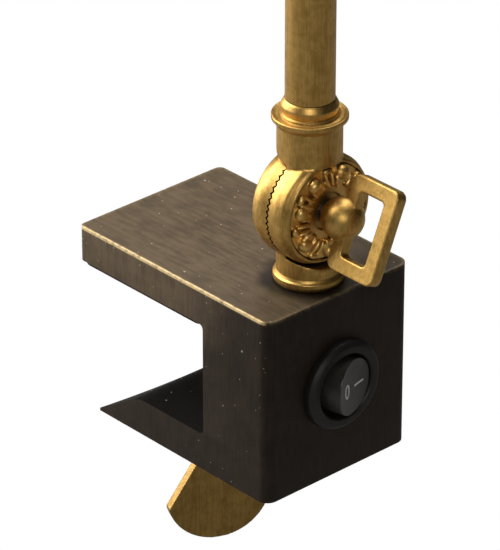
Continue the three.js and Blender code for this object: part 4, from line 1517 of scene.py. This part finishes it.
def floor_material():
    material = bpy.data.materials.new("pale_floor")
    material.use_nodes = True
    tree = material.node_tree
    white = tree.nodes.new("ShaderNodeEmission")
    matt = tree.nodes["Principled BSDF"]
    matt.inputs["Base Color"].default_value = (0.2, 0.2, 0.2, 1)
    matt.inputs["Roughness"].default_value = 0.9
    either = white_for_camera(tree, matt, white)
    tree.links.new(either.outputs[0], tree.nodes["Material Output"].inputs["Surface"])
    return material


def world_light(strength):
    world = bpy.data.worlds.new("studio")
    bpy.context.scene.world = world
    world.use_nodes = True
    tree = world.node_tree
    dim = tree.nodes["Background"]
    dim.inputs["Strength"].default_value = strength
    white = tree.nodes.new("ShaderNodeBackground")
    white.inputs["Color"].default_value = (1, 1, 1, 1)
    either = white_for_camera(tree, dim, white)
    tree.links.new(either.outputs[0], tree.nodes["World Output"].inputs["Surface"])


class LAMP_OT_stage(bpy.types.Operator):
    """Set up the floor, the lights and the camera, and make the finishes"""

    bl_idname = "lamp.stage"
    bl_label = "Stage"

    def execute(self, context):
        settings = context.scene.reading_lamp
        stage = settings.stage
        aim = (BLOCK_LOW + BLOCK_HIGH) / 2 + Vector(stage.aim)
        azimuth, level = stage.azimuth, math.cos(stage.elevation)
        sideways = math.sin(azimuth) * level, -math.cos(azimuth) * level
        back = Vector((*sideways, math.sin(stage.elevation)))
        deselect()
        bpy.ops.object.camera_add(location=aim + back * stage.distance)
        camera = bpy.context.object
        camera.rotation_euler = back.to_track_quat("Z", "Y").to_euler()
        camera.data.lens = stage.lens
        camera.data.clip_start = 0.01
        context.scene.camera = camera
        context.scene.view_settings.view_transform = "Standard"

        deselect()
        level = CAD_BOX[0][2] - stage.floor_drop
        bpy.ops.mesh.primitive_plane_add(size=12, location=(0, 0, level))
        floor = rename("studio_floor")
        floor.data.materials.append(floor_material())

        for light in LIGHTS:
            add_light(*light)
        world_light(0.32)
        make_materials(settings.colors)
        return {"FINISHED"}


# ------------------------------------------------------------------ panel and start

STEPS = (
    LAMP_OT_stage,
    LAMP_OT_clamp_block,
    LAMP_OT_clamp_fittings,
    LAMP_OT_thumbscrew,
    LAMP_OT_switch,
    LAMP_OT_joints,
    LAMP_OT_rosettes,
    LAMP_OT_keys,
    LAMP_OT_stem_and_arm,
    LAMP_OT_shade,
    LAMP_OT_lampholder,
    LAMP_OT_inside,
)


class LAMP_PT_panel(bpy.types.Panel):
    """Sizes, colours and building steps of the reading lamp"""

    bl_label = "Reading Lamp"
    bl_idname = "LAMP_PT_panel"
    bl_space_type = "VIEW_3D"
    bl_region_type = "UI"
    bl_category = "Reading Lamp"

    def draw(self, context):
        lamp = context.scene.reading_lamp
        for group in (lamp.clamp, lamp.joint, lamp.key, lamp.colors, lamp.stage):
            box = self.layout.box()
            for name in group.__annotations__:
                box.prop(group, name)
        for step in STEPS:
            self.layout.operator(step.bl_idname)


CLASSES = (
    LampClampSettings,
    LampJointSettings,
    LampKeySettings,
    LampColorSettings,
    LampStageSettings,
    LampSettings,
    *STEPS,
    LAMP_PT_panel,
)


def register():
    for cls in CLASSES:
        bpy.utils.register_class(cls)
    bpy.types.Scene.reading_lamp = PointerProperty(type=LampSettings)


def unregister():
    del bpy.types.Scene.reading_lamp
    for cls in reversed(CLASSES):
        bpy.utils.unregister_class(cls)


def main():
    register()
    for step in STEPS:
        group, name = step.bl_idname.split(".")
        getattr(getattr(bpy.ops, group), name)()


if __name__ == "__main__":
    main()
